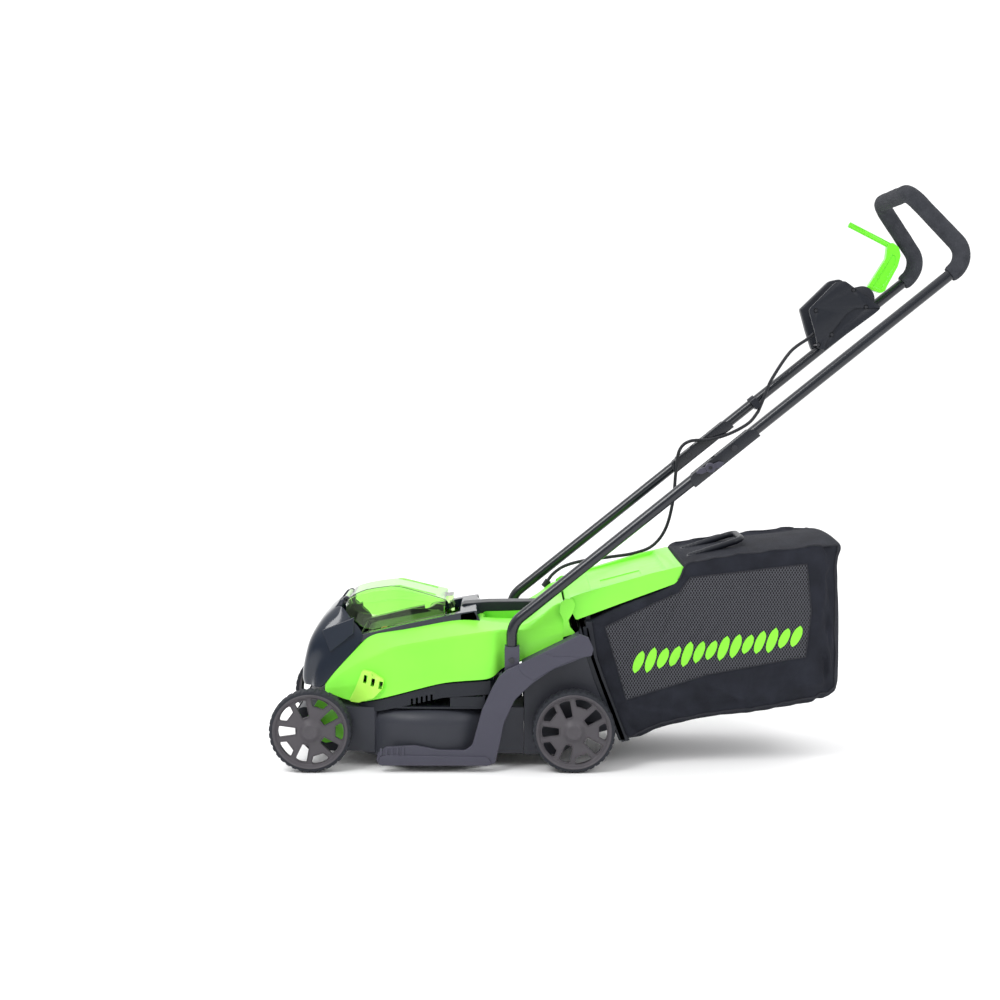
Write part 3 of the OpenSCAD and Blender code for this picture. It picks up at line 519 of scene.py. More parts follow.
def soften(made, width, segments=3, angle=28):
    """Rounds the edges of a moulding and evens its shading."""
    bm = bmesh.new()
    bm.from_mesh(made.data)
    bmesh.ops.remove_doubles(bm, verts=bm.verts, dist=0.00002)
    bmesh.ops.dissolve_limit(bm, angle_limit=math.radians(0.5), verts=bm.verts, edges=bm.edges)
    bm.to_mesh(made.data)
    bm.free()
    step = made.modifiers.new("bevel", "BEVEL")
    step.width = width * MM
    step.segments = segments
    step.limit_method = "ANGLE"
    step.angle_limit = math.radians(angle)
    step.harden_normals = True
    step.miter_outer = "MITER_ARC"
    for polygon in made.data.polygons:
        polygon.use_smooth = True
    return apply_all(made)


def block(view, outline, near, far, width, segments=3, angle=28):
    """A slab with its edges rounded."""
    return soften(slab(view, outline, near, far), width, segments, angle)


def smooth(made, angle=35):
    """Smooth shading, except over edges sharper than the angle."""
    for polygon in made.data.polygons:
        polygon.use_smooth = True
    made.data.set_sharp_from_angle(angle=math.radians(angle))
    return made


def dress(made, name, material, body, replaces=()):
    """Names a finished piece, gives it its material and body, and hides what it stands for."""
    made.name = name
    made.data.name = name
    if not made.data.materials:
        made.data.materials.append(material)
    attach(made, body)
    if replaces:
        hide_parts(*replaces)
    return made


def dress_pair(made, name, material, body, replaces):
    """Dresses a left piece and its mirrored copy on the right; the names end in the side."""
    for side, piece in (("left", made), ("right", mirrored(made))):
        dress(piece, f"{name}_{side}", material, body.format(side), [f"{replaces}_{side}"])


def bent(points, radius, steps=8):
    """A path through points with a round bend of the given radius at each inner corner."""
    out = [Vector(points[0])]
    for before, here, after in zip(points, points[1:], points[2:]):
        here = Vector(here)
        u = (here - Vector(before)).normalized()
        v = (Vector(after) - here).normalized()
        turn = u.angle(v)
        inward = (v - u * v.dot(u)).normalized()
        centre = here - u * radius * math.tan(turn / 2) + inward * radius
        for k in range(steps + 1):
            a = turn * k / steps
            out.append(centre + radius * (u * math.sin(a) - inward * math.cos(a)))
    out.append(Vector(points[-1]))
    return out


def catmull(points, per_span):
    """A smooth curve through points."""
    points = [Vector(p) for p in points]
    last = len(points) - 1
    out = []
    for i in range(last):
        a, b, c, d = points[max(i - 1, 0)], points[i], points[i + 1], points[min(i + 2, last)]
        for k in range(per_span):
            t = k / per_span
            out.append(0.5 * (2 * b + (c - a) * t + (2 * a - 5 * b + 4 * c - d) * t * t
                              + (3 * b - a - 3 * c + d) * t ** 3))
    out.append(points[-1])
    return out


def tube(path, radius, sides=32, bore=None, wobble=None):
    """A round tube along a path; a bore makes it hollow and wobble varies its radius."""
    count = len(path)
    rings = []
    inner = []
    side = None
    for i, p in enumerate(path):
        along = (path[min(i + 1, count - 1)] - path[max(i - 1, 0)]).normalized()
        if side is None:
            side = along.cross(Vector((1, 0.2, 0))).normalized()
        side = (side - along * side.dot(along)).normalized()
        other = along.cross(side)
        ring = []
        bore_ring = []
        for k in range(sides):
            a = 2 * math.pi * k / sides
            spoke = side * math.cos(a) + other * math.sin(a)
            r = radius + (wobble(i, a, p) if wobble else 0)
            ring.append(p + spoke * r)
            bore_ring.append(p + spoke * (bore or 0))
        rings.append(ring)
        inner.append(bore_ring)
    if bore:
        rings = [inner[0]] + rings + inner[::-1]
        return smooth(welded(ring_loft(rings, caps=False)))
    return smooth(ring_loft(rings))


def spun(profile, steps=96):
    """A closed profile of (radius, height) points turned round the Z axis."""
    turns = [2 * math.pi * k / steps for k in range(steps)]
    rings = []
    for r, z in profile + profile[:1]:
        rings.append([Vector((r * math.cos(turn), r * math.sin(turn), z)) for turn in turns])
    return welded(ring_loft(rings, caps=False))


def rod(ends, y, z, radius, sides):
    """A straight round rod across the mower, between two X values."""
    return tube([Vector((x, y, z)) for x in ends], radius, sides)


def turned(made, degrees, axis):
    """Turns a mesh about an axis through its origin."""
    made.data.transform(Matrix.Rotation(math.radians(degrees), 4, axis))
    return made


# ---------------------------------------------------------------- cable

CABLE_ROUTE_UPPER = [(-140, 412, 800), (-140, 400, 790), (-141, 366, 764), (-144, 332, 712),
                     (-147, 319, 680), (-148, 308, 652)]
CABLE_ROUTE_LOWER = [(-148, 303, 642), (-147, 286, 622), (-145, 250, 602), (-144, 210, 590),
                     (-144, 168, 586), (-145, 148, 566), (-148, 142, 520), (-149, 138, 470),
                     (-149, 124, 412), (-149, 98, 376), (-149, 60, 360), (-149, 10, 352),
                     (-149, -40, 345), (-148, -80, 334), (-144, -104, 318), (-140, -116, 302)]
CABLE_R = 3.3


def make_cable():
    """The switch cable: out of the switch box, through the clip, and down into the rear cover."""
    path = catmull(CABLE_ROUTE_UPPER + CABLE_ROUTE_LOWER, 6)
    cable = tube(path, CABLE_R, 16)
    cable.name = "switch_cable"
    cable.data.materials.append(CABLE)
    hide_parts("cable_upper", "cable_lower")
    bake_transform(cable)


# ---------------------------------------------------------------- green top cover

# One row per station along the mower: distance, then (half width, height) of the foot, the lower
# crease, the shoulder and the upper edge, and last the height of the middle.
COVER = [
    (-534, (122, 136), (121, 141), (119, 146), (117, 150), 151),
    (-512, (129, 129), (128, 145), (123, 164), (116, 176), 177),
    (-490, (136, 122), (135, 149), (127, 180), (112, 199), 201),
    (-465, (145, 121), (143, 152), (134, 196), (107, 226), 228),
    (-448, (150, 125), (148, 153), (139, 204), (103, 238), 240),
    (-428, (156, 130), (153, 155), (144, 214), (101, 243), 245),
    (-405, (162, 137), (158, 158), (149, 226), (101, 246), 248),
    (-363, (166, 149), (161, 165), (153, 234), (101, 253), 254),
    (-315, (167, 162), (163, 180), (155, 243), (101, 263), 264),
    (-282, (167, 165), (164, 190), (156, 248), (101, 268), 269),
    (-250, (167, 167), (164, 200), (156, 253), (101, 266), 267),
    (-226, (167, 169), (163, 209), (156, 256), (101, 263), 264),
    (-214, (162, 178), (158, 214), (150, 257), (104, 262), 263),
    (-204, (149, 188), (150, 219), (147, 257), (112, 262), 263),
    (-180, (149, 194), (149, 226), (147, 256), (128, 262), 263),
    (-162, (149, 201), (149, 231), (147, 256), (136, 264), 265),
    (-146, (149, 209), (149, 236), (147, 258), (137, 273), 275),
    (-128, (149, 218), (149, 242), (147, 259), (137, 284), 286),
    (-108, (149, 229), (149, 248), (147, 260), (137, 303), 305),
    (-93, (149, 237), (149, 252), (147, 261), (137, 305), 307),
]


def cover_ring(station):
    """One cross-section of the cover, from the left foot over the top to the right foot."""
    y, foot, crease, shoulder, edge, top = station
    left = [foot, crease, ((crease[0] + shoulder[0]) / 2, (crease[1] + shoulder[1]) / 2), shoulder,
            edge, (edge[0] - 6, top), (edge[0] * 0.5, top)]
    half = [Vector((x, y, z)) for x, z in left]
    return half + [Vector((0, y, top))] + [Vector((-p.x, p.y, p.z)) for p in reversed(half)]


def creased(made, strength, points):
    """Marks as creases the edges that run along the mower through ring points of the given numbers."""
    ring = 15
    mesh = made.data
    layer = mesh.attributes.new("crease_edge", "FLOAT", "EDGE")
    for edge in mesh.edges:
        a, b = edge.vertices
        if abs(a - b) == ring and a % ring in points:
            layer.data[edge.index].value = strength
    return made


def open_cover(cover):
    """Opens the cover over the battery bay, sinks the finger recess and cuts the side air slots."""
    boolean(cover, slab("plan", [(-100, -505), (100, -505), (100, -262, 8), (-100, -262, 8)], 170, 400))
    recess_outer = slab("side", [(-250, 268), (-240, 236, 10), (-150, 236, 14), (-124, 290), (-124, 330),
                                 (-250, 330)], -65, 65)
    recess_inner = slab("side", [(-248, 330), (-238, 238.5, 8), (-152, 238.5, 12), (-121, 330)], -62.5, 62.5)
    boolean(cover, recess_outer)
    wall_outer = slab("side", [(-250, 266), (-240, 236, 10), (-150, 236, 14), (-127, 284), (-150, 271),
                               (-166, 262)], -65, 65)
    boolean(wall_outer, recess_inner)
    joined(cover, wall_outer)
    for side in (-1, 1):
        for i in range(3):
            slot = slab("side", [(-461 + i * 16, 152), (-455 + i * 16, 152), (-455 + i * 16, 170 - i * 5),
                                 (-461 + i * 16, 170 - i * 5)], 120 * side, 200 * side)
            boolean(cover, slot)


def cover_rear():
    """Rear apron of the cover with the two ears that carry the flap's rod."""
    rear = slab("side", [(-93, 243), (-70, 250, 2), (-80, 262, 3), (-84, 280, 3), (-88, 305), (-93, 305)],
                -149, 149)
    inner = slab("side", [(-92, 200), (-40, 200), (-40, 400), (-92, 400)], -141, 141)
    boolean(rear, inner)
    ear = slab("side", [(-100, 290, 3), (-98, 307, 4), (-88, 314.5, 6), (-75, 314.5, 6), (-70.5, 304, 6),
                        (-74, 290, 4), (-88, 266, 3)], 143.5, 149.2)
    joined(rear, both(ear))
    soften(rear, 1.0, 2)
    return rear


def make_cover():
    """Green cover: a smooth loft with two creases, opened over the battery bay and the finger recess."""
    cover = ring_loft([cover_ring(s) for s in COVER], closed=False, caps=False)
    creased(cover, 0.9, (0, 1, 3, 4, 10, 11, 13, 14))
    subdivided(cover, 3, corners=True)
    faces_down = cover.data.polygons[len(cover.data.polygons) // 2].normal.z < 0
    thick(cover, 2.6, 1 if faces_down else -1)
    open_cover(cover)
    rear = cover_rear()
    smooth(cover, 32)
    joined(cover, rear)
    dress(cover, "green_top_cover", GREEN, "root", ["top_cover"])


# ---------------------------------------------------------------- black nose cover

# One row per height: height, distance of the front, half width of the front corner, distance of the
# rear edge, half width there, and how far the front face is rounded.
NOSE = [
    (142, -578, 92, -541, 119, 12),
    (152, -582, 95, -532, 118, 14),
    (178, -579, 99, -511, 113, 15),
    (200, -574, 101, -490, 110, 16),
    (220, -569, 101, -471, 107, 16),
    (238, -560, 99, -462, 103, 15),
    (252, -551, 94, -473, 97, 14),
    (266, -541, 86, -487, 89, 13),
    (280, -526, 77, -499, 80, 11),
    (287, -516, 72, -505, 76, 8),
]


def nose_ring(row):
    """Half of one level of the nose, from its rear edge round the corner to the middle, and back."""
    z, front, corner, rear, width, round_off = row
    half = [(width, rear), ((width + corner) / 2 + 2, (rear * 0.55 + front * 0.45)),
            (corner + 1, front + round_off * 1.6), (corner - round_off * 0.35, front + round_off * 0.5),
            (corner - round_off * 1.2, front), (corner * 0.4, front - 1.5)]
    left = [Vector((x, y, z)) for x, y in half]
    return left + [Vector((0, front - 2, z))] + [Vector((-p.x, p.y, p.z)) for p in reversed(left)]


def make_nose():
    """Gloss black nose with its side facets, air slots, hinge knuckles and the trim beside the lid."""
    nose = ring_loft([nose_ring(r) for r in NOSE], closed=False, caps=False)
    subdivided(nose, 3)
    thick(nose, 2.6)
    for i in range(4):
        slot = slab("front", [(-66 + 3 * i, 156 + 9 * i, 1.5), (66 - 3 * i, 156 + 9 * i, 1.5),
                              (66 - 3 * i, 160.5 + 9 * i, 1.5), (-66 + 3 * i, 160.5 + 9 * i, 1.5)], -600,
                    -560)
        boolean(nose, slot)
    smooth(nose, 34)
    trim = block("side", [(-482, 236), (-464, 240, 3), (-452, 242.5, 8), (-385, 258.5, 60),
                          (-284, 279.5, 6), (-252, 284.5, 3), (-250, 266, 3), (-282, 262), (-385, 244),
                          (-452, 230), (-480, 218)], lid_half() + 1.6, 101, 1.6, 3)
    prong = block("side", [(-284, 262), (-284, 279), (-256, 284, 3), (-244, 262, 4), (-247, 247, 3),
                           (-257, 252, 6)], 58, 101, 2.0, 3)
    bridge = block("side", [(-291, 266), (-284, 279.4, 4), (-254, 284.4, 4), (-246, 266, 3)], -99, 99, 1.6, 3)
    knuckle = block("side", [(-520, 280), (-508, 300, 6), (-500, 304.5, 5), (-492, 300, 5),
                             (-489, 290, 4), (-496, 276)], 44.6, 54, 1.4, 3)
    brow = block("side", [(-524, 280), (-510, 299, 6), (-503, 301, 4), (-506, 286)], 54, 66, 2.0, 3)
    facet = plate([(99, -541, 247), (95, -482, 270), (110, -482, 242), (110.5, -525, 208)], 12)
    soften(facet, 1.0, 3)
    joined(nose, both(trim), both(prong), bridge, both(knuckle), both(brow), both(facet))
    dress(nose, "gloss_nose_cover", GLOSS, "root", ["front_cover"])


def lid_half():
    """Half width of the lid at its foot."""
    return high("battery_lid").x


# ---------------------------------------------------------------- vents, carrying handle

def make_vents():
    """Air outlets on both flanks: a raised lime pod whose three slots have drawn-in edges."""
    pod = slab("side", [(-489, 121, 4), (-477, 143, 10), (-462, 181, 5), (-444, 178.5, 6), (-421, 166, 5),
                        (-424, 149, 6), (-441, 131, 8), (-470, 120)], 128, 168)
    taper = slab("plan", [(120, -500), (139, -490), (150, -462), (159.5, -444), (163.5, -419),
                          (120, -419)], 100, 200)
    boolean(pod, taper, "INTERSECT")
    soften(pod, 2.2, 4)
    for i in range(3):
        start = -461 + i * 14.5
        slot = slab("side", [(start, 158 - i * 4.5, 1.2), (start + 6.4, 157 - i * 4.5, 1.2),
                             (start + 9.5, 172 - i * 5, 1.2), (start + 3, 174 - i * 5, 1.2)], 100, 200)
        boolean(pod, slot)
    smooth(pod, 30)
    dress(both(pod), "lime_side_vents", LIME, "root", ["side_vents"])


def make_carriers():
    """Green plates that carry the front axle, cut away ahead of it, each with a pressed rim."""
    outline = [(-566, 62, 4), (-563, 96, 6), (-540, 132, 10), (-518, 134, 8), (-494, 112, 8), (-487, 80, 8),
               (-500, 52, 8), (-530, 46, 8)]
    carrier = slab("side", outline, 150, 152.4)
    rim = slab("side", outline, 150.4, 154)
    boolean(rim, slab("side", [(a + 0.1 * (-527 - a), b + 0.1 * (88 - b), r) for a, b, r in outline], 140,
                      160))
    joined(carrier, rim)
    centre = (low("front_axle_rod") + high("front_axle_rod")) / 2
    boolean(carrier, rod((140, 170), centre.y, centre.z, 5.2, 40))
    dress(both(smooth(carrier, 30)), "green_axle_carriers", GREEN, "root", ["front_axle_carrier"])


def make_carry_handle():
    """Arched carrying handle, rounded for the hand, with its rear foot on the cover."""
    top = [(-286, 276, 3), (-280, 284, 4), (-262, 285.5, 20), (-232, 288, 60), (-171, 288.5, 50),
           (-134, 289, 12), (-116, 300, 8), (-101, 311.5, 3)]
    under = [(-97, 306.5, 2), (-108, 297, 6), (-124, 279, 8), (-152, 272, 40), (-190, 270, 60),
             (-238, 269, 14), (-246, 264, 4), (-256, 264, 3)]
    grip = block("side", top + under, -19.5, 19.5, 5.0, 5)
    line = block("side", [(-255, 282), (-250, 283.5), (-243, 262), (-250, 262)], -20.2, 20.2, 0.6, 2)
    joined(grip, line)
    dress(grip, "carry_grip", BLACK, "root", ["carry_handle"])


# ---------------------------------------------------------------- battery lid

# One row per station: distance, height of the lid's foot, and the height of its crown.
LID = [(-498, 279, 291), (-494, 272, 301), (-484, 264, 307.5), (-472, 253, 312), (-462, 247, 315),
       (-446, 245, 318), (-416, 252, 322), (-400, 257, 321.5), (-380, 261, 317), (-350, 268, 309.5),
       (-322, 273, 302), (-312, 276, 299), ]


def lid_ring(station):
    """One open cross-section of the lid: upright flanks, a sloping shoulder and a flat crown."""
    y, foot, crown = station
    rise = crown - foot
    wide = lid_half() - 0.4
    lean = min(1.0, rise / 70)
    half = [(wide, foot), (wide - 1.5, foot + rise * 0.4), (wide - 9 * lean, foot + rise * 0.68),
            (wide - 22 * lean, foot + rise * 0.93), (wide - 30 * lean, crown), (wide * 0.3, crown + 0.2)]
    left = [Vector((x, y, z)) for x, z in half]
    return left + [Vector((0, y, crown + 0.2))] + [Vector((-p.x, p.y, p.z)) for p in reversed(left)]


def make_lid():
    """Clear tinted lid: a thin moulded dome with a rim, two ribs on its crown, a pull tab and a barrel."""
    lid = ring_loft([lid_ring(s) for s in LID], closed=False, caps=False)
    thick(lid, 2.2, even=True)
    soften(lid, 0.7, 3, 12)
    rear = block("front", [(-76, 270, 4), (76, 270, 4), (70, 290, 8), (46, 299, 6), (-46, 299, 6),
                           (-70, 290, 8)], -315, -312.6, 0.6, 2)
    tab = block("side", [(-330, 298, 1), (-312, 299.5, 6), (-300, 300.5, 1), (-297, 296, 2),
                         (-301, 293, 3), (-297, 280, 6), (-296, 272, 1), (-302, 271, 1), (-307, 285, 5),
                         (-314, 296, 2)], -24, 24, 0.8, 2)
    rib = block("side", [(-416, 321, 2), (-404, 324.4, 6), (-398, 324.4, 6), (-330, 307, 3), (-331, 303),
                         (-398, 320)], -47.5, -45.5, 0.5, 2)
    barrel = tube([Vector((-43, -500, 297)), Vector((43, -500, 297))], 6, 32, bore=2.56)
    joined(lid, rear, tab, both(rib), barrel)
    dress(lid, "clear_battery_lid", CLEAR, "lid", ["battery_lid"])


# ---------------------------------------------------------------- discharge flap

def make_flap():
    """Green flap over the chute: rounded hood, hollow underneath, and a sunk panel with a stepped end."""
    outer = [(132, 376, 9), (70, 361, 80), (-50, 326, 40), (-68, 320, 10), (-80, 315.2, 6), (-88.6, 307, 6),
             (-88.2, 300, 5), (-78, 290, 6), (-69, 274, 3), (-50, 281, 30), (16, 306, 40), (97, 336, 12),
             (116, 343, 9), (125, 356, 12)]
    flap = slab("side", outer, -142, 142)
    hollow = slab("side", [(-64, 286), (-60, 312), (-50, 317), (118, 362), (114, 352), (106, 345),
                           (97, 300), (-40, 250)], -138.6, 138.6)
    boolean(flap, hollow)
    panel = slab("side", [(-40, 325.9, 4), (-30, 328.5, 10), (92, 360.6, 10), (100, 372), (-52, 340)],
                 -124, 124)
    boolean(flap, panel)
    tray = slab("side", [(-20, 329.3, 3), (56, 349.5, 3), (54, 360), (-22, 340)], 30, 112)
    boolean(flap, tray)
    bore = rod((-150, 150), -80, 306, 3.05, 24)
    boolean(flap, bore)
    room = rod((-13, 2), -80, 306, 7, 24)
    boolean(flap, room)
    soften(flap, 2.4, 4, 24)
    dress(flap, "green_discharge_flap", GREEN, "flap", ["discharge_flap"])


# ---------------------------------------------------------------- side skirts

SKIRT = [(-434, 22, 4), (-431, 36, 6), (-416, 47.5, 10), (-364, 50.5, 30), (-318, 42, 20),
         (-272, 41.5, 12), (-259, 51, 14), (-241, 117, 30), (-222, 158, 30), (-211, 177, 16),
         (-197, 190, 14), (-175, 200, 30), (-131, 222, 60), (-92, 241, 40), (-63, 256, 3), (-48, 250, 2),
         (-39, 229, 4), (-42, 216, 4), (-55, 214, 10), (-113, 191, 60), (-146, 168, 40), (-166, 150, 30),
         (-182, 134, 30), (-201, 92, 60), (-209, 52, 50), (-217, 18, 6), (-232, 12.5, 6), (-425, 12.5, 6),
         ]


def make_skirt():
    """Left skirt: the arm that sweeps from the runner over the wheel, with its steps, shelf and ribs."""
    skirt = slab("side", SKIRT, 182.2, 189)
    runner = block("side", [(-430, 14, 4), (-428, 30, 6), (-414, 33, 8), (-230, 30, 10), (-222, 14, 4)],
                   184, 191.6, 1.6, 3)
    soften(skirt, 2.4, 4)
    cuff = block("side", [(-176, 199.5), (-170, 185, 20), (-148, 171.5), (-113, 193, 30), (-79, 208, 20),
                          (-62, 213.5), (-88, 215, 14), (-106, 214, 14), (-131, 221.5)], 188, 190.2, 0.9,
                 3)
    shelf = slab("side", [(-210, 176), (-199, 188), (-175, 199), (-131, 221), (-92, 240), (-65, 255),
                          (-65, 252), (-92, 237), (-131, 218), (-175, 196), (-199, 184.5), (-210, 173)],
                 150, 184)
    boolean(shelf, slab("plan", [(149, -205), (181.6, -205), (181.6, -169), (149, -169)], 120, 260))
    soften(shelf, 0.8, 2)
    ribs = []
    for i in range(5):
        y = -428 + i * 10
        rib = slab("side", [(y, 32, 1), (y + 1, 45 + i * 1.2, 2), (y + 5.5, 46 + i * 1.2, 2),
                            (y + 5, 32, 1)], 187, 190.8)
        ribs.append(soften(rib, 0.8, 2))
    return joined(skirt, runner, cuff, shelf, *ribs)


def make_skirts():
    """The left skirt and its mirror on the right."""
    dress_pair(make_skirt(), "grey_skirt", GREY, "root", "side_skirt")


# ---------------------------------------------------------------- deck and tray

def make_deck():
    """Deck: the round blade bowl with a full shoulder, blended into the front box."""
    bowl_r = 178
    middle_y = -335
    shoulder = [(bowl_r - 30 + 30 * math.sin(a), 82 + 30 * math.cos(a))
                for a in [math.radians(d) for d in range(0, 91, 10)]]
    outside = [(0.01, 112)] + shoulder + [(bowl_r, 40), (bowl_r + 1.5, 26), (bowl_r + 1.5, 22)]
    inside = [(bowl_r - 3, 22), (bowl_r - 3.5, 82), (bowl_r - 12, 102), (bowl_r - 32, 108.4), (0.01, 108.4)]
    bowl = spun(outside + inside, 144)
    bowl.data.transform(Matrix.Translation((0, middle_y * MM, 0)))
    smooth(bowl, 40)
    box = slab("plan", [(-148, -590, 22), (148, -590, 22), (148, -440), (140, -430), (148, -250),
                        (148, -165), (-148, -165), (-148, -250), (-140, -430), (-148, -440)], 26, 112)
    shape = slab("side", [(-592, 64), (-592, 97, 16), (-576, 112, 14), (-160, 112), (-160, 20),
                          (-330, 20), (-480, 30), (-560, 30)], -150, 150)
    boolean(box, shape, "INTERSECT")
    boolean(box, slab("plan", [(-144.5, -586, 18), (144.5, -586, 18), (144.5, -100), (-144.5, -100)], 0,
                      108.4))
    core = spun([(0.01, 130), (bowl_r - 1, 130), (bowl_r - 1, 0), (0.01, 0)], 144)
    core.data.transform(Matrix.Translation((0, middle_y * MM, 0)))
    boolean(box, core)
    chute = slab("side", [(-335, 0), (-335, 108.4), (-145, 108.4), (-145, 0)], -110, 110)
    boolean(bowl, chute)
    boolean(bowl, slab("plan", [(-12, -347, 11.9), (12, -347, 11.9), (12, -323, 11.9), (-12, -323, 11.9)],
                       100, 120))
    soften(box, 1.6, 3)
    smooth(bowl, 40)
    joined(bowl, box)
    dress(bowl, "blade_deck", DECK, "root", ["deck_shell"])


# ---------------------------------------------------------------- handle

SLOPE = math.radians(39)
HANDLE = Vector((0, math.cos(SLOPE), math.sin(SLOPE)))
PIVOT = joint_origin("handle_fold")
TUBE_R = 10.0
TUBE_BORE = 8.8
# Distance of each handle leg from the middle
HANDLE_X = 165
# Room round the tube inside a bracket, and half the bracket's width beyond the tube's radius
BRACKET_PLAY = 0.4
BRACKET_HALF = 2.9


def at_tube(distance, x=0.0):
    """The point that lies a distance up the handle line from the fold pivot."""
    return Vector((x, PIVOT.y, PIVOT.z)) + HANDLE * distance


def make_lower_tubes():
    """Lower tubes: upright in the sockets, then bent onto the handle line."""
    x = (low("lower_tube_left").x + high("lower_tube_left").x) / 2
    foot = low("lower_tube_left")
    corner_y = foot.y + TUBE_R
    corner = at_tube((corner_y - PIVOT.y) / HANDLE.y, x)
    path = bent([(x, corner_y, foot.z), corner, at_tube(12, x)], 45, 12)
    left = tube(path, TUBE_R, 40, bore=TUBE_BORE)
    dress_pair(left, "painted_lower_tube", PAINT, "root", "lower_tube")


GRIP_CORNER_Y = 629
GRIP_TOP = Vector((110, 530, 1051))


def grip_corners():
    """Corners of the handle's loop, from the left leg over the top to the right leg."""
    corner = at_tube((GRIP_CORNER_Y - PIVOT.y) / HANDLE.y, HANDLE_X)
    return [corner, GRIP_TOP, Vector((-GRIP_TOP.x, GRIP_TOP.y, GRIP_TOP.z)),
            Vector((-corner.x, corner.y, corner.z))]


def make_upper_handle():
    """Upper U handle in one tube, and the foam pulled over its loop."""
    corners = grip_corners()
    path = bent([at_tube(20, HANDLE_X)] + corners + [at_tube(20, -HANDLE_X)], 40, 12)
    handle = tube(path, TUBE_R, 40, bore=TUBE_BORE)
    dress(handle, "painted_upper_handle", PAINT, "handle", ["upper_handle"])
    start = corners[0] - HANDLE * 48
    end = corners[3] - HANDLE * 48
    line = bent([start] + corners + [end], 40, 12)
    fine = []
    for a, b in zip(line, line[1:]):
        steps = max(1, round((b - a).length / 4))
        fine += [a.lerp(b, k / steps) for k in range(steps)]
    fine.append(line[-1])
    last = len(fine) - 1

    def ragged(i, angle, p):
        """Foam swells and dips a little, and its cut ends are rounded over."""
        edge = min(i, last - i)
        drop = (2.2, 0.7, 0.2)[edge] if edge < 3 else 0
        return 0.55 * noise.noise(p * 0.045) + 0.22 * noise.noise(p * 0.21) - drop - 0.3

    grip = tube(fine, 16, 40, bore=10.02, wobble=ragged)
    for v in grip.data.vertices:
        near_end = min((v.co / MM - start).dot(HANDLE), (v.co / MM - end).dot(HANDLE))
        if near_end < 1.0:
            v.co += HANDLE * MM * 1.1 * noise.noise(v.co / MM * 0.35)
    dress(grip, "foam_hand_grip", FOAM, "handle", ["foam_grip"])


def sloped(made, x):
    """Turns a shape drawn with Y along the handle and Z square to it onto the tube at x."""
    turn = Matrix.Rotation(SLOPE, 4, "X")
    made.data.transform(Matrix.Translation(Vector((x, PIVOT.y, PIVOT.z)) * MM) @ turn)
    return made


def make_brackets():
    """Folding brackets: pressed channels with rounded lips, open in the web over the pivot."""
    inner, outer = TUBE_R + BRACKET_PLAY, TUBE_R + BRACKET_HALF
    section = [(-outer, -outer, 3), (outer, -outer, 3), (outer, TUBE_R, 1.2), (inner, TUBE_R, 1.2),
               (inner, -inner, 1.5), (-inner, -inner, 1.5), (-inner, TUBE_R, 1.2), (-outer, TUBE_R, 1.2)]
    channel = slab("front", section, -42, 106)
    trim = slab("side", [(-43, -14, 1), (-43, 4, 12), (-30, 11, 6), (92, 11, 6), (107, 2, 10),
                         (107, -14, 1)], -20, 20)
    boolean(channel, trim, "INTERSECT")
    boolean(channel, slab("front", [(-inner, -20), (inner, -20), (inner, 0), (-inner, 0)], -18, 18))
    soften(channel, 0.5, 2)
    twin = sloped(mirrored(channel), -HANDLE_X)
    dress(joined(sloped(channel, HANDLE_X), twin), "pressed_brackets", PAINT, "handle", ["fold_brackets"])


def make_knobs():
    """Wing knobs outside the brackets, on the fold bolts."""
    knob = spun([(3.1, 0), (8.4, 0), (9, 0.8), (9, 10.5), (8, 12), (4.6, 12), (4.0, 11), (3.1, 11)], 48)
    smooth(knob, 30)
    wing = block("plan", [(5, -4.4), (19, -5.4, 4), (26, -1.5, 3), (26, 1.5, 3), (19, 5.4, 4), (5, 4.4)],
                 2, 10, 1.5, 3)
    other = placed(wing.data.copy())
    joined(knob, turned(wing, 20, "Z"), turned(other, 200, "Z"))
    turned(knob, 90, "Z")
    turned(knob, 90, "Y")
    face = HANDLE_X + TUBE_R + BRACKET_HALF + BRACKET_PLAY
    knob.data.transform(Matrix.Translation(Vector((face, PIVOT.y, PIVOT.z)) * MM))
    dress_pair(knob, "fold_knob", GREY, "knob_{}", "wing_knob")


# ---------------------------------------------------------------- switch box and lever

BOX = [(389, 849, 6), (446, 905, 22), (468, 909, 14), (493, 890, 14), (542, 850, 6), (524, 834, 8),
       (448, 776, 6), (432, 764, 4), (414, 768, 6), (402, 804, 10)]
PANEL = [(397, 847, 8), (448, 900, 18), (467, 903, 12), (489, 887, 13), (540, 850, 5), (523, 836, 8),
         (446, 779, 8), (430, 767, 4), (417, 772, 6), (409, 806, 12)]
STEP = [(470, 838, 8), (488, 850, 14), (546, 850, 5), (523, 830, 8), (444, 772, 6), (428, 772, 4),
        (440, 800, 30)]
SCREWS = [(484, 885), (411, 845), (509, 852), (443, 798), (417, 778)]


def box_bore(radius):
    """The handle tube's way through the switch box."""
    return tube([at_tube(100, -HANDLE_X), at_tube(600, -HANDLE_X)], radius, 40)


LEVER_AXIS = joint_origin("bail_squeeze")
# The slot that the lever swings in, and the ends of the drum round its hub
SLOT = (-150.6, -126.6)
DRUM = (-154, -123)


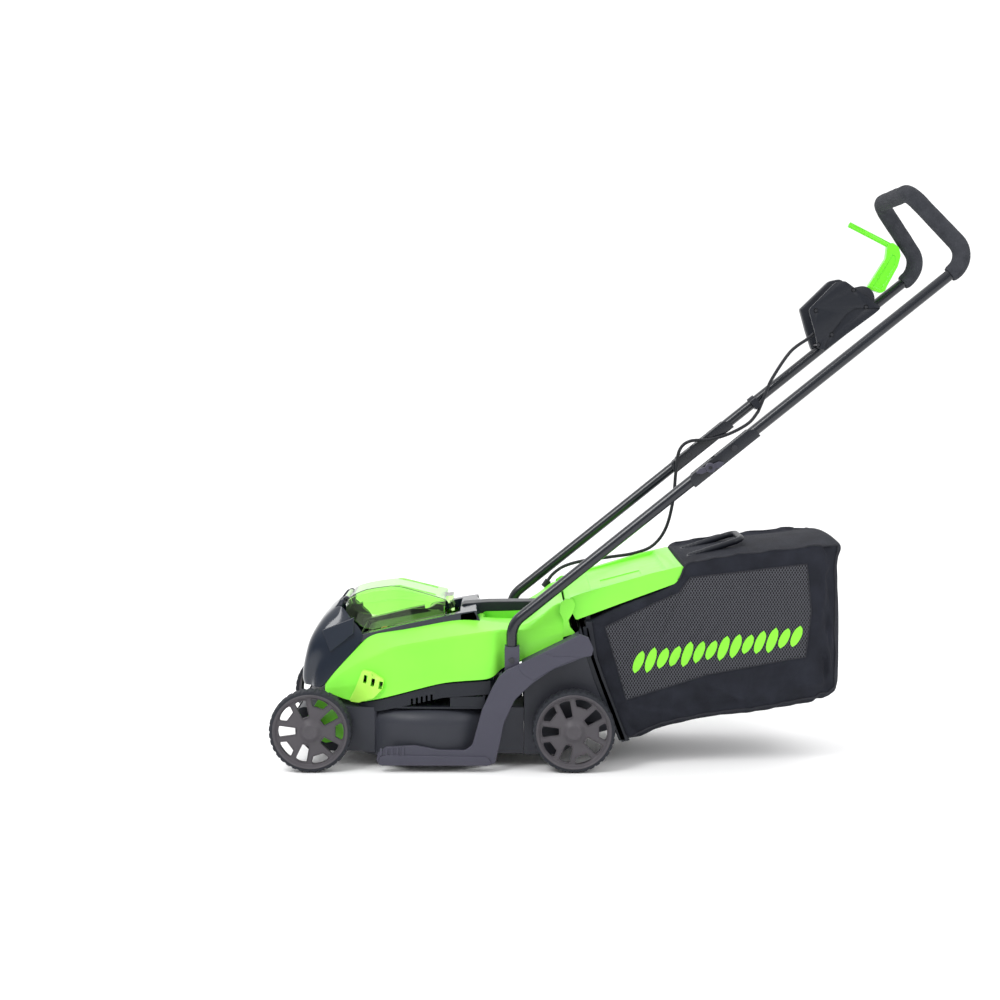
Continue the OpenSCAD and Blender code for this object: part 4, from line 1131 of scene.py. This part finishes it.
def make_switch_box():
    """Switch box: two shells with a seam, a raised and stepped near face, screw wells and a drum."""
    axis = (LEVER_AXIS.y, LEVER_AXIS.z)
    inner = block("side", BOX, -164.6, -121.4, 3.4, 4)
    panel = slab("side", PANEL, -124, -117.4)
    boolean(panel, slab("side", STEP, -119.9, -110))
    for y, z in SCREWS:
        well = rod((-121, -110), y, z, 4.6, 24)
        boolean(panel, well)
    soften(panel, 1.2, 3)
    collar = tube([at_tube(317, -HANDLE_X), at_tube(350, -HANDLE_X)], 13.5, 40)
    soften(collar, 1.2, 3)
    lug = block("side", [(410, 772), (410, 762, 4), (420, 750, 4), (434, 760, 3), (434, 776)], -160, -142,
                1.6, 3)
    joined(inner, collar, lug)
    boolean(inner, box_bore(10.03))
    room = [(476, 868), (490, 868), (490, 920), (560, 920), (560, 840), (524, 838), (500, 842), (482, 850)]
    boolean(inner, slab("side", room, *SLOT))
    drum = rod(DRUM, *axis, 25, 64)
    boolean(drum, rod(SLOT, *axis, 21.6, 64))
    boolean(drum, slab("side", [(490, 868), (490, 920), (560, 920), (560, 868)], *SLOT))
    soften(drum, 0.8, 3)
    joined(inner, panel, drum)
    smooth(inner, 30)
    dress(inner, "switch_box_shell_inner", BLACK, "handle", ["switch_box_inner"])
    outer = block("side", BOX, -187, -165.4, 4.0, 4)
    boolean(outer, box_bore(10.03))
    boolean(outer, rod((-192, -176), 462, 862, 8.4, 40))
    smooth(outer, 30)
    dress(outer, "switch_box_shell_outer", BLACK, "handle", ["switch_box_outer"])


def make_lever():
    """Bail lever: hub, a ridged paddle, and a round finger bar that bends forward over the grip."""
    paddle = slab("side", [(494, 872), (509, 889.5, 4), (541, 879.5, 6), (549, 884, 5), (553, 894, 12),
                           (573, 932, 20), (578, 953, 14), (574, 969, 10), (561, 979, 8), (551.5, 973, 5),
                           (549, 948, 10), (514, 891, 6), (500, 891, 4)], -147, -129)
    groove = slab("side", [(524, 893, 3), (541, 886, 4), (546, 894, 6), (566, 932, 14), (569, 950, 8),
                           (561, 956, 4), (557, 947, 8)], -131.4, -120)
    boolean(paddle, groove)
    soften(paddle, 2.2, 4)
    hub = rod((-147, -129), LEVER_AXIS.y, LEVER_AXIS.z, 14, 64)
    soften(hub, 1.2, 3)
    axle = rod((-153.5, -124.4), LEVER_AXIS.y, LEVER_AXIS.z, 3.9, 32)
    bar_path = catmull([(-138, 566, 955), (-138, 561, 969), (-138.5, 545, 979), (-139, 510, 997),
                        (-140, 477, 1014)], 6)
    bar = tube(bar_path, 5.6, 32, bore=3.2)
    joined(paddle, hub, axle, bar)
    dress(paddle, "green_bail_lever", LEVER, "lever", ["bail_lever"])


# ---------------------------------------------------------------- wheels

def make_wheel():
    """One wheel in its own frame, axle along Z and outer face up: rim, ten windows, domed hub."""
    half = 17.5
    face = spun([(5.06, -half + 2), (12, -half + 2), (15, 2), (18, 5), (62.5, 5), (64.5, 2),
                 (65, 3 - half), (68.9, 3 - half), (68.9, half - 2.2), (67.8, half - 1.4),
                 (66.4, half - 2.6), (64.6, half - 3.2), (62.6, 10.6), (61, 9.6), (24, 9.2), (21, 10.6),
                 (18, 12.2), (15.5, half - 2.2), (12.5, half - 0.6), (9, half - 1.0), (7, half - 2.1),
                 (0.01, half - 2.4), (0.01, half - 7), (5.06, half - 7)], 120)
    smooth(face, 30)
    narrow = [(27, -6.2, 2), (56.5, -10.4, 2.5), (59, 0, 30), (56.5, 10.4, 2.5), (27, 6.2, 2)]
    wide = [(46, -10, 2), (57, -16.5, 2.5), (60, -9, 14), (61, 0, 40), (60, 9, 14), (57, 16.5, 2.5),
            (46, 10, 2)]
    frames = []
    for i in range(10):
        outline = narrow if i % 2 == 0 else wide
        turn = Matrix.Rotation(math.radians(108 + 36 * i), 4, "Z")
        window = slab("plan", outline, -half - 2, half + 2)
        window.data.transform(turn)
        boolean(face, window)
        grown = grow(outline, 1.7)
        lip = slab("plan", grown, 4.2, 10.6)
        boolean(lip, slab("plan", outline, 0, 20))
        soften(lip, 0.55, 2)
        lip.data.transform(turn)
        frames.append(lip)
    return joined(smooth(face, 30), *frames)


def grow(outline, by):
    """An outline moved outward by a distance along the corners' own directions."""
    middle_a = sum(p[0] for p in outline) / len(outline)
    out = []
    for p in outline:
        d = Vector((p[0] - middle_a, p[1]))
        q = Vector(p[:2]) + d.normalized() * by
        out.append((q.x, q.y, *[r + by for r in p[2:]]))
    return out


def make_tyre():
    """Tyre with shallow lugs that wrap over both shoulders."""
    lugs = 36
    rings = []
    profile = [(69, -15.5), (72.4, -15.5), (74.2, -14.6), (75.4, -12), (76, -7), (76, 7), (75.4, 12),
               (74.2, 14.6), (72.4, 15.5), (69, 15.5)]
    steps = lugs * 8
    for k in range(steps):
        turn = 2 * math.pi * k / steps
        ring = []
        for r, z in profile:
            phase = (lugs * turn / (2 * math.pi) + (0.5 if z < 0 else 0)) % 1
            valley = 1 if phase < 0.3 else 0
            depth = 1.5 * valley * min(1, max(0, (abs(z) - 3) / 4)) if r > 72 else 0
            ring.append(Vector(((r - depth) * math.cos(turn), (r - depth) * math.sin(turn), z)))
        rings.append(ring)
    rings.append(rings[0])
    return smooth(welded(ring_loft(rings, caps=False)), 28)


def make_wheels():
    """Four wheels and tyres, turned onto their axles with the outer faces outward."""
    wheel = make_wheel()
    tyre = make_tyre()
    for end, row in (("front", "f"), ("rear", "r")):
        for side, sign in (("left", 1), ("right", -1)):
            node = f"wheel_{end}_{side}"
            centre = (low(node) + high(node)) / 2
            turn = Matrix.Rotation(math.radians(90), 4, "Z") @ Matrix.Rotation(math.radians(90), 4, "X")
            place = Matrix.Translation(Vector((177.5 * sign, centre.y, centre.z)) * MM)
            if sign < 0:
                place = place @ Matrix.Rotation(math.pi, 4, "Z")
            for source, name, material, stands_for, slot in (
                    (wheel, f"spoked_{node}", WHEEL, node, "wheel_plastic"),
                    (tyre, f"treaded_tyre_{end}_{side}", RUBBER, f"tyre_{end}_{side}", "tyre_rubber")):
                mesh = source.data.copy()
                mesh.transform(place @ turn)
                dress(placed(mesh), name, material, f"wheel_{row}{side[0]}", [stands_for])
    bpy.data.objects.remove(wheel)
    bpy.data.objects.remove(tyre)


# ---------------------------------------------------------------- grass bag

# Side of the bag: (distance, height, corner radius), from the top of the mouth down the front, along
# the bottom, up the back and forward over the top.
BAG = [(-48, 270, 3), (-38, 206), (-23, 163), (0, 105), (20, 60, 4), (30, 53, 4), (48, 61, 20),
       (89, 77, 60), (177, 95, 90), (265, 105, 90), (350, 121, 90), (408, 134, 12), (424, 143, 10),
       (429, 156, 10), (431, 210), (430, 250, 90), (421, 350, 60), (420, 376, 30), (427, 407, 6),
       (418, 422, 6), (363, 414, 60), (221, 398, 80), (130, 381, 8), (119, 350, 8), (97, 333), (16, 302)]
BAG_HALF = 146.5
BAG_PLAN = [(BAG_HALF, -90), (BAG_HALF, 360, 90), (138, 405, 30), (122, 424, 16), (96, 433)]
# Netting let into the side, and the line that the printed mark follows
NET_PANEL = [(-16, 262), (71, 305), (118, 326), (140, 354), (352, 379), (362, 292), (352, 207),
             (175, 174), (24, 126)]
MARK_START = (46, 197)
MARK_STEP = (22.2, 3.7)
MARK_LEAVES = 14


def bag_body():
    """The bag before it sags: a closed form with the corners of its plan rounded, in even quads."""
    body = slab("side", BAG, -BAG_HALF, BAG_HALF)
    plan = BAG_PLAN + [(-p[0], *p[1:]) for p in reversed(BAG_PLAN)]
    boolean(body, slab("plan", plan, 0, 500), "INTERSECT")
    step = body.modifiers.new("quads", "REMESH")
    step.mode = "VOXEL"
    step.voxel_size = 7.5 * MM
    step.adaptivity = 0
    apply_all(body)
    for v in body.data.vertices:
        high_up = min(1.0, max(0.0, (v.co.z / MM - 340) / 40))
        v.co.z += 9 * MM * high_up * (1 - (v.co.x / MM / BAG_HALF) ** 2)
    return body


def seam_distance(p):
    """How far a point in millimetres is from the sewn edges of the bag, and from its mouth."""
    edge = BAG_HALF - abs(p.x)
    mouth = (p.y + 51) - (272 - p.z) * 0.31
    return edge, mouth


def open_mouth(body):
    """Takes the cloth away inside the frame of the mouth."""
    bm = bmesh.new()
    bm.from_mesh(body.data)
    gone = []
    for face in bm.faces:
        p = face.calc_center_median() / MM
        edge, mouth = seam_distance(p)
        if mouth < 9 and edge > 22 and 84 < p.z < 254:
            gone.append(face)
    bmesh.ops.delete(bm, geom=gone, context="FACES")
    bm.to_mesh(body.data)
    bm.free()


def hold_cloth(body):
    """Marks how firmly each point of the cloth is held by the frame, the flap and the seams."""
    group = body.vertex_groups.new(name="held")
    for v in body.data.vertices:
        p = v.co / MM
        edge, mouth = seam_distance(p)
        under_flap = p.y < 128 and p.z > 276 + 0.4 * p.y
        sewn = edge < 5 and not 60 < p.z < 130
        if mouth < 16 or under_flap:
            group.add([v.index], 1.0, "REPLACE")
        elif sewn:
            group.add([v.index], 1.0 if p.z > 330 else 0.5, "REPLACE")
        elif p.y > 405:
            group.add([v.index], 0.12, "REPLACE")


CLOTH_FRAMES = 26
# The farthest that a point of the cloth may hang from its pattern, in millimetres
MOST_SAG = 9


def hang_cloth(body):
    """Lets the cloth sag from the frame and the sewn edges, a little larger than its pattern."""
    rest = [v.co.copy() for v in body.data.vertices]
    hold_cloth(body)
    cloth = body.modifiers.new("cloth", "CLOTH")
    settings = cloth.settings
    settings.quality = 7
    settings.mass = 0.35
    settings.tension_stiffness = 12
    settings.compression_stiffness = 6
    settings.shear_stiffness = 4
    settings.bending_stiffness = 0.25
    settings.vertex_group_mass = "held"
    settings.pin_stiffness = 1.0
    settings.use_pressure = True
    settings.uniform_pressure_force = 0.5
    settings.shrink_min = -0.035
    settings.time_scale = 0.8
    scene = bpy.context.scene
    cloth.point_cache.frame_start = 1
    cloth.point_cache.frame_end = CLOTH_FRAMES
    for frame_number in range(1, CLOTH_FRAMES + 1):
        scene.frame_set(frame_number)
    apply_all(body)
    scene.frame_set(1)
    for v, old in zip(body.data.vertices, rest):
        move = v.co - old
        limit = MOST_SAG * MM
        if move.length > limit:
            v.co = old + move * (limit / move.length)


# Folds that stand in the cloth of the sides: both ends as (distance, height), how proud and how wide
FOLDS = [((122, 340), (82, 250), 5.5, 5), ((66, 150), (160, 270), 3.6, 8),
         ((170, 158), (260, 116), 4.5, 6), ((290, 134), (350, 205), 4.2, 7),
         ((392, 385), (376, 250), 4.2, 6), ((408, 330), (398, 170), -3.6, 6),
         ((40, 112), (125, 94), 3.8, 6), ((226, 376), (310, 325), -3.0, 9),
         ((60, 288), (14, 190), 3.2, 6), ((120, 200), (210, 290), -3.0, 8),
         ((330, 150), (395, 160), -3.4, 6)]


def fold_cloth(body):
    """Lays the folds in both sides of the bag."""
    for v in body.data.vertices:
        p = v.co / MM
        if abs(p.x) < 118:
            continue
        here = Vector((p.y, p.z))
        push = 1.1 * noise.noise(Vector((p.y * 0.018, p.z * 0.03, 7.0 if p.x > 0 else 2.0)))
        for a, b, height, width in FOLDS:
            a, b = Vector(a), Vector(b)
            share = (here - a).dot(b - a) / (b - a).length_squared
            if -0.2 < share < 1.2:
                off = (here - a - (b - a) * share).length / width
                push += height * math.exp(-off * off) * max(0.0, 1 - (2 * share - 1) ** 2 / 1.96)
        v.co.x += math.copysign(push * MM, p.x)


def cut_panel(body):
    """Cuts the cloth along the outline of the netting and gives the faces inside it their own material."""
    bm = bmesh.new()
    bm.from_mesh(body.data)
    count = len(NET_PANEL)
    for i in range(count):
        a = Vector((0, *NET_PANEL[i])) * MM
        b = Vector((0, *NET_PANEL[(i + 1) % count])) * MM
        normal = (b - a).cross(Vector((1, 0, 0)))
        near = []
        for face in bm.faces:
            centre = face.calc_center_median()
            share = (centre - a).dot(b - a) / (b - a).length_squared
            if -0.1 < share < 1.1 and abs((centre - a).dot(normal.normalized())) < 12 * MM:
                near.append(face)
        edges = list({e for f in near for e in f.edges})
        verts = list({v for f in near for v in f.verts})
        bmesh.ops.bisect_plane(bm, geom=near + edges + verts, plane_co=a, plane_no=normal)
    for face in bm.faces:
        p = face.calc_center_median() / MM
        on_side = abs(p.x) > BAG_HALF - 16 and abs(face.normal.x) > 0.5
        face.material_index = 1 if on_side and inside(p.y, p.z, NET_PANEL) else 0
    bm.to_mesh(body.data)
    bm.free()


def inside(a, b, outline):
    """Whether a point is inside a closed outline."""
    hit = False
    for p, q in zip(outline, outline[1:] + outline[:1]):
        if (p[1] > b) != (q[1] > b) and a < p[0] + (q[0] - p[0]) * (b - p[1]) / (q[1] - p[1]):
            hit = not hit
    return hit


def on_cloth(tree, points, lift):
    """Points laid on the cloth, each lifted off it by a distance in millimetres."""
    out = []
    for p in points:
        place, normal, _, _ = tree.find_nearest(Vector(p) * MM)
        out.append(place / MM + normal * lift)
    return out


def spaced(points, spacing):
    """The same path with points at an even spacing."""
    out = []
    for a, b in zip(points, points[1:]):
        steps = max(1, round((Vector(b) - Vector(a)).length / spacing))
        out += [Vector(a).lerp(Vector(b), k / steps) for k in range(steps)]
    out.append(Vector(points[-1]))
    return out


def make_mark(tree):
    """Text-free mark: a rising row of printed leaf blades on each side of the bag."""
    bm = bmesh.new()
    for sign in (-1, 1):
        for i in range(MARK_LEAVES):
            tall = 21 + 3 * math.sin(i * 1.9)
            middle = (MARK_START[0] + MARK_STEP[0] * i, MARK_START[1] + MARK_STEP[1] * i)
            rows = []
            for k in range(9):
                t = k / 8 * 2 - 1
                width = 8.6 * (1 - t * t) ** 0.6 + 0.15
                across, up = middle[0] + t * 7, middle[1] + t * tall
                rows.append([(across + u * width, up) for u in (-1, -0.5, 0, 0.5, 1)])
            verts = [[bm.verts.new(p) for p in on_cloth(tree, [(150 * sign, *q) for q in row],
                                                        0.9)] for row in rows]
            for low_row, high_row in zip(verts, verts[1:]):
                for k in range(4):
                    bm.faces.new((low_row[k], low_row[k + 1], high_row[k + 1], high_row[k]))
    mark = thick(add_object(bm), 0.25)
    return dress(smooth(mark, 60), "bag_leaf_mark", PRINT, "bag")


def make_piping(tree):
    """Cord sewn into the edges of the sides, and the taped border of the netting."""
    parts = []
    for sign in (-1, 1):
        edge = [Vector((144.5 * sign, p.x, p.y)) for p in arcs(BAG, 3) if p.y < 265 or p.x > 110]
        path = on_cloth(tree, spaced(edge, 9), 0.6)
        parts.append(tube(path, 1.7, 10))
        border = [Vector((150 * sign, *p)) for p in NET_PANEL + NET_PANEL[:1]]
        path = on_cloth(tree, spaced(border, 8), 0.35)
        parts.append(tube(path, 1.1, 8))
    return dress(joined(*parts), "bag_piping", BINDING, "bag")


def make_bag():
    """Cloth bag with netting in its sides, sewn edges, and a printed mark."""
    body = bag_body()
    body.data.materials.append(WOVEN)
    body.data.materials.append(NET)
    open_mouth(body)
    hang_cloth(body)
    subdivided(body, 1)
    fold_cloth(body)
    cut_panel(body)
    bm = bmesh.new()
    bm.from_mesh(body.data)
    area = sum(face.calc_area() for face in bm.faces)
    tree = BVHTree.FromBMesh(bm)
    bm.free()
    mark = make_mark(tree)
    piping = make_piping(tree)
    thick(body, 1.0, -1)
    smooth(body, 180)
    dress(body, "sewn_grass_bag", WOVEN, "bag", ["bag_fabric", "bag_neck"])


def make_frame_lip():
    """Outer lip of the bag's frame, which closes the gap between the bag and the chute."""
    lip = block("side", [(-57, 262, 2), (-46, 262, 2), (-34, 206, 60), (-19, 163, 60), (4, 105, 60),
                         (25, 50, 3), (11, 50, 3), (-13, 105, 60), (-36, 163, 60), (-50, 206, 60)], 138,
                149, 1.6, 3)
    dress(both(lip), "bag_frame_lip", BLACK, "bag")


def make_bag_handle():
    """Loop handle of the bag, ribbed at both ends where it meets its feet."""
    path = bent([(52, 146, 380), (52, 247, 413), (-52, 247, 413), (-52, 146, 380)], 20, 10)
    path = spaced(path, 2.5)
    last = len(path) - 1

    def ribs(i, angle, p):
        """Rings on the first 30 mm of both legs."""
        return -0.9 if min(i, last - i) < 14 and i % 3 == 0 else 0

    loop = tube(path, 6, 24, wobble=ribs)
    foot = block("side", [(138, 371.3), (170, 377.7), (170, 386, 3), (146, 383.5, 4), (138, 380, 2)], 40,
                 64, 1.6, 3)
    joined(loop, both(foot))
    dress(loop, "bag_loop_handle", BLACK, "bag", ["bag_handle"])


# ---------------------------------------------------------------- pieces kept from the frame

FINISH = {
    "discharge_chute": DECK, "chassis_tray": BLACK, "battery_tray": BLACK, "battery_pack": BLACK,
    "safety_key": ORANGE, "lid_hinge_pin": STEEL, "motor_housing": BLACK, "controller_box": BOARD,
    "front_axle_rod": STEEL, "rear_axle_rod": STEEL, "axle_clips": STEEL,
    "handle_socket_left": GREY, "handle_socket_right": GREY, "socket_screws": DARK_STEEL,
    "flap_hinge_rod": STEEL, "flap_spring": STEEL, "cable_gland": CABLE, "motor_shaft": STEEL,
    "blade_adapter": BLACK, "cutting_blade": STEEL, "blade_bolt": STEEL, "bag_frame": BLACK,
    "bracket_bolts": DARK_STEEL, "cable_clip": BLACK, "switch_box_screws": DARK_STEEL, "switch_unit": BLACK,
    "lock_off_button": GREY,
}
# Edge radius in millimetres on the moulded pieces that keep their CAD shape
ROUNDING = {
    "discharge_chute": 1.6, "chassis_tray": 0.8, "battery_tray": 0.8, "battery_pack": 2.5, "safety_key": 1.5,
    "controller_box": 2.0, "handle_socket_left": 2.0, "handle_socket_right": 2.0,
    "bag_frame": 1.2, "cable_clip": 1.0, "lock_off_button": 0.8, "cutting_blade": 0.4,
}


def finish_frame_pieces():
    """Materials, and rounded edges where the piece is moulded, for the CAD pieces that stay in view."""
    for node, material in FINISH.items():
        piece = NODES[node]
        if not piece.material_slots:
            piece.data.materials.append(material)
        for slot in piece.material_slots:
            slot.material = material
        if node in ROUNDING:
            weld = piece.modifiers.new("weld", "WELD")
            weld.merge_threshold = 0.01 * MM
            edge = piece.modifiers.new("rounding", "BEVEL")
            edge.width = ROUNDING[node] * MM
            edge.segments = 3
            edge.limit_method = "ANGLE"
            edge.angle_limit = math.radians(32)
            edge.harden_normals = True


# ---------------------------------------------------------------- everything, in order

make_camera()
make_cable()
make_studio()
make_deck()
make_cover()
make_nose()
make_vents()
make_carriers()
make_carry_handle()
make_lid()
make_flap()
make_skirts()
make_wheels()
make_lower_tubes()
make_upper_handle()
make_brackets()
make_knobs()
make_switch_box()
make_lever()
make_bag()
make_frame_lip()
make_bag_handle()
finish_frame_pieces()
